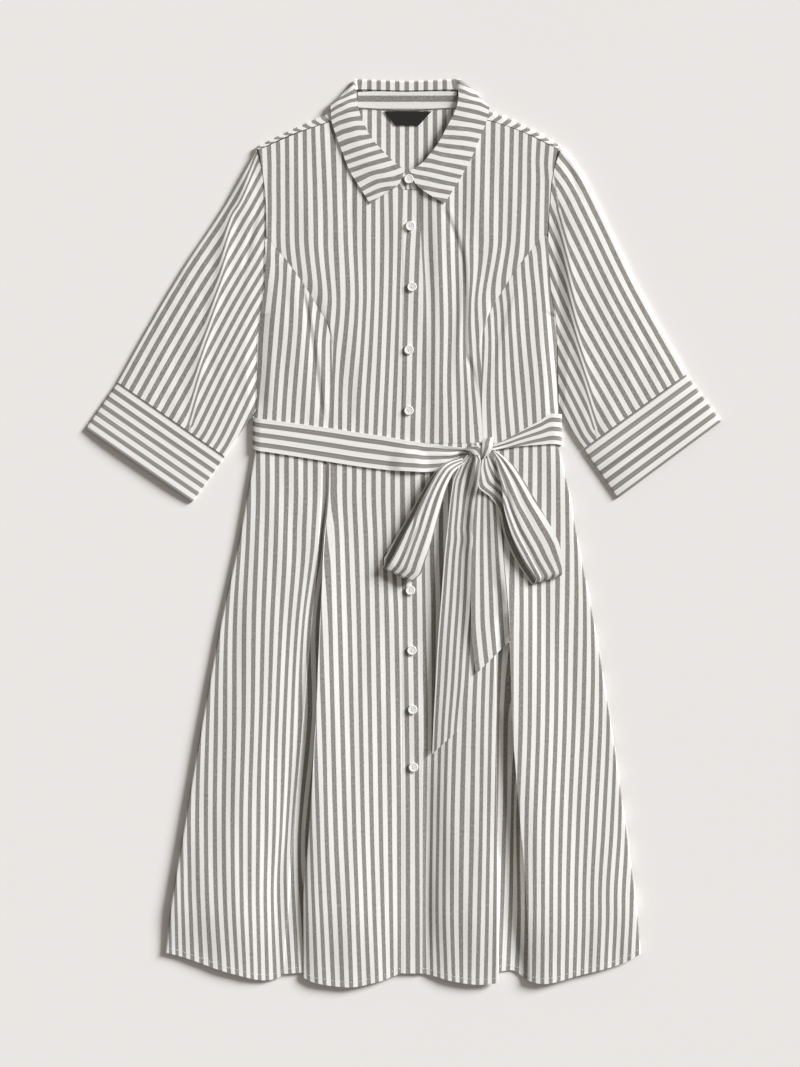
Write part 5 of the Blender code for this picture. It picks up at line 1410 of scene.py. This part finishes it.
def knot(material):
    """The knot's wad of folded belt, which the two turns of the belt go over."""
    points = []

    def squared(value):
        """A share of the wad's half size, drawn out towards its corners."""
        return math.copysign(abs(value) ** WAD_SQUARE, value)

    for r in range(1, WAD_RINGS):
        tilt = -math.pi / 2 + math.pi * r / WAD_RINGS
        for s in range(WAD_SIDES):
            turn = 2 * math.pi * s / WAD_SIDES
            flat = (squared(math.cos(tilt)) * squared(math.cos(turn)),
                    squared(math.cos(tilt)) * squared(math.sin(turn)), squared(math.sin(tilt)))
            points.append([c + h * f for c, h, f in zip(WAD_CENTRE, WAD_HALF, flat)])
    faces = grid_faces(WAD_RINGS - 1, WAD_SIDES, ring=True).tolist()
    poles = len(points)
    x, y, z = WAD_CENTRE
    points += [(x, y, z - WAD_HALF[2]), (x, y, z + WAD_HALF[2])]
    last = (WAD_RINGS - 2) * WAD_SIDES
    for s in range(WAD_SIDES):
        t = (s + 1) % WAD_SIDES
        faces.append((poles, t, s))
        faces.append((poles + 1, last + s, last + t))
    points = np.array(points)
    leaning = points[:, 0] + WAD_LEAN * points[:, 1]
    cloth_map = np.stack([leaning / WAD_STRIPE, points[:, 1] / STRIPE], 1)
    item = add_object("bow_knot_wad", points, faces, material, cloth_map, sharp=None)
    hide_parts("bow_knot")


# ---------------------------------------------------------------- sewing

STITCH = 2.4            # length of a stitch that shows
STITCH_GAP = 1.1
STITCH_SHOULDERS = (0.2, 0.8)   # shares of a stitch between which it is full
# Radius of the thread. It is thinner where less of it shows.
HEM_THREAD = 0.34
CUFF_THREAD = 0.15
STAND_THREAD = 0.24
PLACKET_THREAD = 0.12
BUTTONHOLE_THREAD = 0.2
BUTTON_THREAD = 0.3
HEM_DEPTH = 7.0         # the hem's row of stitches, above the edge
EDGE_DEPTH = 1.6        # a row along an edge
BUTTONHOLE = (-8.6, 6.6)    # ends of a buttonhole, from the middle of its button
BUTTONHOLE_HALF = 0.75      # from the slit to the middle of its stitches
BUTTONHOLE_STITCH = 0.6     # half of such a stitch
BUTTONHOLE_STEP = 0.5
BUTTONHOLE_LIFT = 0.15      # its stitches above the cloth's face
INSIDE_ROWS = 9             # rows of a grid in which a line of stitches is looked for


def inside_edge(grid, away):
    """A line across a grid, some way in from its last row."""
    made = []
    for column in grid[::-1].transpose(1, 0, 2):
        column = column[:INSIDE_ROWS]
        along = distances(column)
        made.append([np.interp(away, along, column[:, axis]) for axis in range(3)])
    return np.array(made)


def stitches_along(line):
    """The ends of each stitch of a row."""
    along = distances(line)
    starts = np.arange(STITCH_GAP, along[-1] - STITCH, STITCH + STITCH_GAP)

    def at(places):
        """Points of the line at some distances along it."""
        return np.stack([np.interp(places, along, line[:, axis]) for axis in range(3)], axis=1)

    return list(zip(at(starts), at(starts + STITCH)))


def sew(name, rows, material, radius):
    """Short rounded stitches of thread between pairs of points, half sunk in the cloth."""
    points, faces = [], []
    for start, end in rows:
        start, end = Vector(start), Vector(end)
        aside = (end - start).cross(Vector((0, 0, 1))).normalized() * radius
        up = (end - start).cross(aside).normalized() * radius
        base = len(points)
        points += [start, end]
        for share in STITCH_SHOULDERS:
            middle = start.lerp(end, share)
            points += [middle + aside, middle + up, middle - aside, middle - up]
        for k in range(4):
            n = (k + 1) % 4
            faces.append((base, base + 2 + n, base + 2 + k))
            faces.append((base + 2 + k, base + 2 + n, base + 6 + n, base + 6 + k))
            faces.append((base + 1, base + 6 + k, base + 6 + n))
    item = add_object(name, points, faces, material, sharp=None)


def buttonhole(x, y, z):
    """Close stitches across both sides of a buttonhole that runs down the placket."""
    rows = []
    for k in range(int((BUTTONHOLE[1] - BUTTONHOLE[0]) / BUTTONHOLE_STEP)):
        down = y + BUTTONHOLE[0] + BUTTONHOLE_STEP * k
        for side in (-1, 1):
            middle = x + side * BUTTONHOLE_HALF
            rows.append(((middle - BUTTONHOLE_STITCH, down, z),
                         (middle + BUTTONHOLE_STITCH, down, z)))
    return rows


# ---------------------------------------------------------------- buttons

HOLE_RADIUS = 0.75
HOLE_FROM_CENTRE = 1.6
HOLE_DEPTH = 0.9
HOLE_EDGE = 0.3         # width of a hole's rounded edge
BUTTON_SIDES = 48
BUTTON_TURN = 30        # greatest turn of a button, in degrees
BUTTON_LIFT = 0.3       # a button's underside above the cloth
DISH = ((0.0, 1.85), (3.4, 1.87), (4.3, 1.95), (4.9, 2.1), (5.4, BUTTON_THICK))
RIM = ((5.9, 2.0), (BUTTON_RADIUS, 1.5), (6.1, 0.8), (5.6, 0.25), (4.6, 0.0))
DISH_RADII = (*np.linspace(0.15, 3.1, 12), 3.4, 3.9, 4.3, 4.6, 4.9, 5.2, 5.5)


def hole_places(turned):
    """The middles of a button's four holes, from its own middle."""
    angles = [math.radians(turned + 45 + 90 * k) for k in range(4)]
    return [(HOLE_FROM_CENTRE * math.cos(angle), HOLE_FROM_CENTRE * math.sin(angle))
            for angle in angles]


def button_thread(x, y, z, turned):
    """Two stitches through the four holes of a button."""
    holes = [(x + dx, y + dy, z + DISH[0][1]) for dx, dy in hole_places(turned)]
    return [(holes[0], holes[1]), (holes[2], holes[3])]


def button(number, x, y, z, turned, material):
    """A four-hole button with a raised rim and a dished middle."""
    dish = zip(DISH_RADII, smooth(DISH_RADII, *zip(*DISH)))
    rings = [*dish, *RIM]
    holes = hole_places(turned)
    points = []
    for radius, height in rings:
        for i in range(BUTTON_SIDES):
            angle = 2 * math.pi * i / BUTTON_SIDES
            px, py = radius * math.cos(angle), radius * math.sin(angle)
            drop = 0.0
            for dx, dy in holes:
                inside = HOLE_RADIUS - math.hypot(px - dx, py - dy)
                drop = max(drop, float(ease(inside / HOLE_EDGE)) * HOLE_DEPTH)
            points.append((x + px, y + py, z + height - drop))
    faces = grid_faces(len(rings), BUTTON_SIDES, ring=True)[:, ::-1].tolist()
    faces.append(tuple(range(BUTTON_SIDES)))
    last = (len(rings) - 1) * BUTTON_SIDES
    faces.append(tuple(range(last + BUTTON_SIDES - 1, last - 1, -1)))
    item = add_object(f"button_{number:02d}_moulded", points, faces, material)
    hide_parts(f"button_{number:02d}")


# ---------------------------------------------------------------- the dress


cotton = striped_cotton("yarn_dyed_cotton_poplin")
plastic = polyester_button("moulded_polyester_button")
tape = satin_tape("woven_satin_label_tape")
thread = sewing_thread("spun_polyester_thread")

cloth("back_bodice", back_bodice_grid(), cotton, turned=True)
back_skirt = back_skirt_grid()
cloth("back_skirt", back_skirt, cotton)

skirt_right = skirt_front_grid(SKIRT_FRONT_RIGHT, ("first_row", "last_column"))
skirt_left = skirt_front_grid(SKIRT_FRONT_LEFT, ("first_row", "first_column"))
cloth("skirt_front_right", skirt_right, cotton, turned=True)
cloth("skirt_front_left", skirt_left, cotton, turned=True)

all_round = ("first_row", "last_row", "first_column", "last_column")
front_right = front_grid(ARMHOLE_TOP_RIGHT, PRINCESS_RIGHT, FRONT_RIGHT, CREASES_FRONT_RIGHT)
front_left = front_grid(ARMHOLE_TOP_LEFT, PRINCESS_LEFT, FRONT_LEFT, CREASES_FRONT_LEFT)
cloth("front_right", draw_in(front_right, all_round), cotton, turned=True)
cloth("front_left", draw_in(front_left, all_round), cotton)
side_right = side_front_grid(ARMHOLE_LOW_RIGHT, SIDE_SEAM_RIGHT, SIDE_MIDDLE_RIGHT,
                             PRINCESS_RIGHT, PRINCESS_SIDE_RIGHT, CREASES_SIDE_RIGHT)
side_left = side_front_grid(ARMHOLE_LOW_LEFT, SIDE_SEAM_LEFT, SIDE_MIDDLE_LEFT,
                            PRINCESS_LEFT, PRINCESS_SIDE_LEFT, CREASES_SIDE_LEFT)
cloth("side_front_right", side_right, cotton, turned=True)
cloth("side_front_left", side_left, cotton)
placket = placket_grid()
cloth("placket", placket, cotton, wall=1.0, turned=True)

sleeve_right = sleeve_grid(SLEEVE_RIGHT, CREASES_SLEEVE_RIGHT, seed=3)
sleeve_left = sleeve_grid(SLEEVE_LEFT, CREASES_SLEEVE_LEFT, seed=4)
cloth("sleeve_right", sleeve_right, cotton, ring=True, turned=True)
cloth("sleeve_left", sleeve_left, cotton, ring=True)
cuff_right = cuff_grid(SLEEVE_RIGHT)
cuff_left = cuff_grid(SLEEVE_LEFT)
cloth("cuff_right", cuff_right, cotton, ring=True, turned=True)
cloth("cuff_left", cuff_left, cotton, ring=True)

cloth("collar_fall", section_strip(COLLAR_FALL, COLLAR_STEPS), cotton, wall=1.1, turned=True)


def neck_edge(front, end):
    """The neck edge of a front, from the centre to the side of the neck."""
    edge = front[0][::-1]
    return edge[np.abs(edge[:, 0]) <= abs(end)]


neck_right = np.concatenate((STAND_TAB, neck_edge(front_right, NECK_REACH[0])))
cloth("collar_stand_right", front_stand_grid(neck_right, ROLL_RIGHT), cotton, wall=1.0)
cloth("collar_stand_left", front_stand_grid(neck_edge(front_left, NECK_REACH[1]), ROLL_LEFT),
      cotton, wall=1.0, turned=True)
stand_back = stand_back_grid()
cloth("collar_stand_back", stand_back, cotton, wall=1.0)
cloth("neck_label", label_grid(), tape, wall=0.4)

cloth("belt", belt_grid(), cotton, wall=0.8, turned=True)
knot(cotton)
wrap("bow_knot_left_turn", TURN_LEFT, cotton)
wrap("bow_knot_main_turn", TURN_MAIN, cotton)
skirt_top = surface(skirt_left, skirt_right)
short = tail_grid(TAIL_SHORT, skirt_top, stand_off=1.6, pleats_end=40)
cloth("bow_tail_short", short, cotton, wall=0.9, turned=True)
loop_left, loop_left_lower = loop_grid(LOOP_LEFT, surface(skirt_left, short), CREASE_LEFT)
cloth("bow_loop_left", loop_left, cotton)
loop_right, _ = loop_grid(LOOP_RIGHT, skirt_top, CREASE_RIGHT)
cloth("bow_loop_right", loop_right, cotton)
under_long = surface(skirt_left, skirt_right, short, loop_left_lower)
long = tail_grid(TAIL_LONG, under_long, stand_off=6.0, pleats_end=30)
cloth("bow_tail_long", long, cotton, wall=0.9, turned=True)

turns = random.Random(5)
through_buttons, round_holes = [], []
for number, (x, y) in enumerate(BUTTONS, start=1):
    carrier = TAB_TOP if y > NECK_FRONT else FRONT_TOP
    turned = turns.uniform(-BUTTON_TURN, BUTTON_TURN)
    button(number, x, y, carrier + BUTTON_LIFT, turned, plastic)
    through_buttons += button_thread(x, y, carrier + BUTTON_LIFT, turned)
    if y < NECK_FRONT:
        round_holes += buttonhole(x, y, carrier + BUTTONHOLE_LIFT)
sew("button_thread", through_buttons, thread, BUTTON_THREAD)
sew("buttonhole_thread", round_holes, thread, BUTTONHOLE_THREAD)

# Rows of stitches beside the last row of each grid, or the first where it is reversed.
stand_ends, placket_edges = stand_back.transpose(1, 0, 2), placket.transpose(1, 0, 2)
for name, grid, depth, radius in (
        ("hem_back_stitches", back_skirt, HEM_DEPTH, HEM_THREAD),
        ("hem_right_stitches", skirt_right, HEM_DEPTH, HEM_THREAD),
        ("hem_left_stitches", skirt_left, HEM_DEPTH, HEM_THREAD),
        ("cuff_right_stitches", cuff_right[::-1], EDGE_DEPTH, CUFF_THREAD),
        ("cuff_left_stitches", cuff_left[::-1], EDGE_DEPTH, CUFF_THREAD),
        ("stand_stitches", stand_ends[::-1], EDGE_DEPTH, STAND_THREAD),
        ("placket_outer_stitches", placket_edges, EDGE_DEPTH, PLACKET_THREAD),
        ("placket_inner_stitches", placket_edges[::-1], EDGE_DEPTH, PLACKET_THREAD)):
    sew(name, stitches_along(inside_edge(grid, depth)), thread, radius)

# ---------------------------------------------------------------- the surface and the light

# From here on, lengths are in metres.
BOARD_HALF = 12.0
BOARD_Z = -0.0003
CORNERS = ((-1, -1), (1, -1), (1, 1), (-1, 1))
board = bpy.data.meshes.new("board")
board.from_pydata([(x * BOARD_HALF, y * BOARD_HALF, BOARD_Z) for x, y in CORNERS],
                  [], [(0, 1, 2, 3)])
board.materials.append(painted_board("painted_board"))
floor = bpy.data.objects.new("board", board)
bpy.context.scene.collection.objects.link(floor)

# A wide soft light comes low from the upper right, and an even, warmer light from a pale
# room. On a flat surface the two add up to plain white.
KEY_BEARING = math.radians(32)      # from +X towards +Y
KEY_HEIGHT = math.radians(21)
KEY_WIDTH = math.radians(20)
KEY_SHARE = 0.73                    # the key light's share of the light on a flat surface
ROOM_COLOUR = (1.0, 0.955, 0.87)
key = bpy.data.lights.new("key", "SUN")
key.energy = KEY_SHARE * math.pi / math.sin(KEY_HEIGHT)
key.angle = KEY_WIDTH
key.color = [(1.0 - (1.0 - KEY_SHARE) * value) / KEY_SHARE for value in ROOM_COLOUR]
key_object = bpy.data.objects.new("key", key)
towards = Vector((math.cos(KEY_HEIGHT) * math.cos(KEY_BEARING),
                  math.cos(KEY_HEIGHT) * math.sin(KEY_BEARING), math.sin(KEY_HEIGHT)))
key_object.rotation_euler = towards.to_track_quat("Z", "Y").to_euler()
bpy.context.scene.collection.objects.link(key_object)

world = bpy.data.worlds.new("pale_room")
world.use_nodes = True
room = world.node_tree.nodes["Background"]
room.inputs["Color"].default_value = (*ROOM_COLOUR, 1.0)
room.inputs["Strength"].default_value = 1.0 - KEY_SHARE
bpy.context.scene.world = world

CAMERA_PLACE = (-0.0046, 0.0, 3.911)    # straight above the dress, looking down
LENS = 100
SENSOR = 36
camera = bpy.data.cameras.new("camera")
camera.lens = LENS
camera.sensor_width = SENSOR
camera.sensor_fit = "AUTO"
camera_object = bpy.data.objects.new("camera", camera)
camera_object.location = CAMERA_PLACE
bpy.context.scene.collection.objects.link(camera_object)
bpy.context.scene.camera = camera_object
bpy.context.scene.view_settings.view_transform = "Standard"
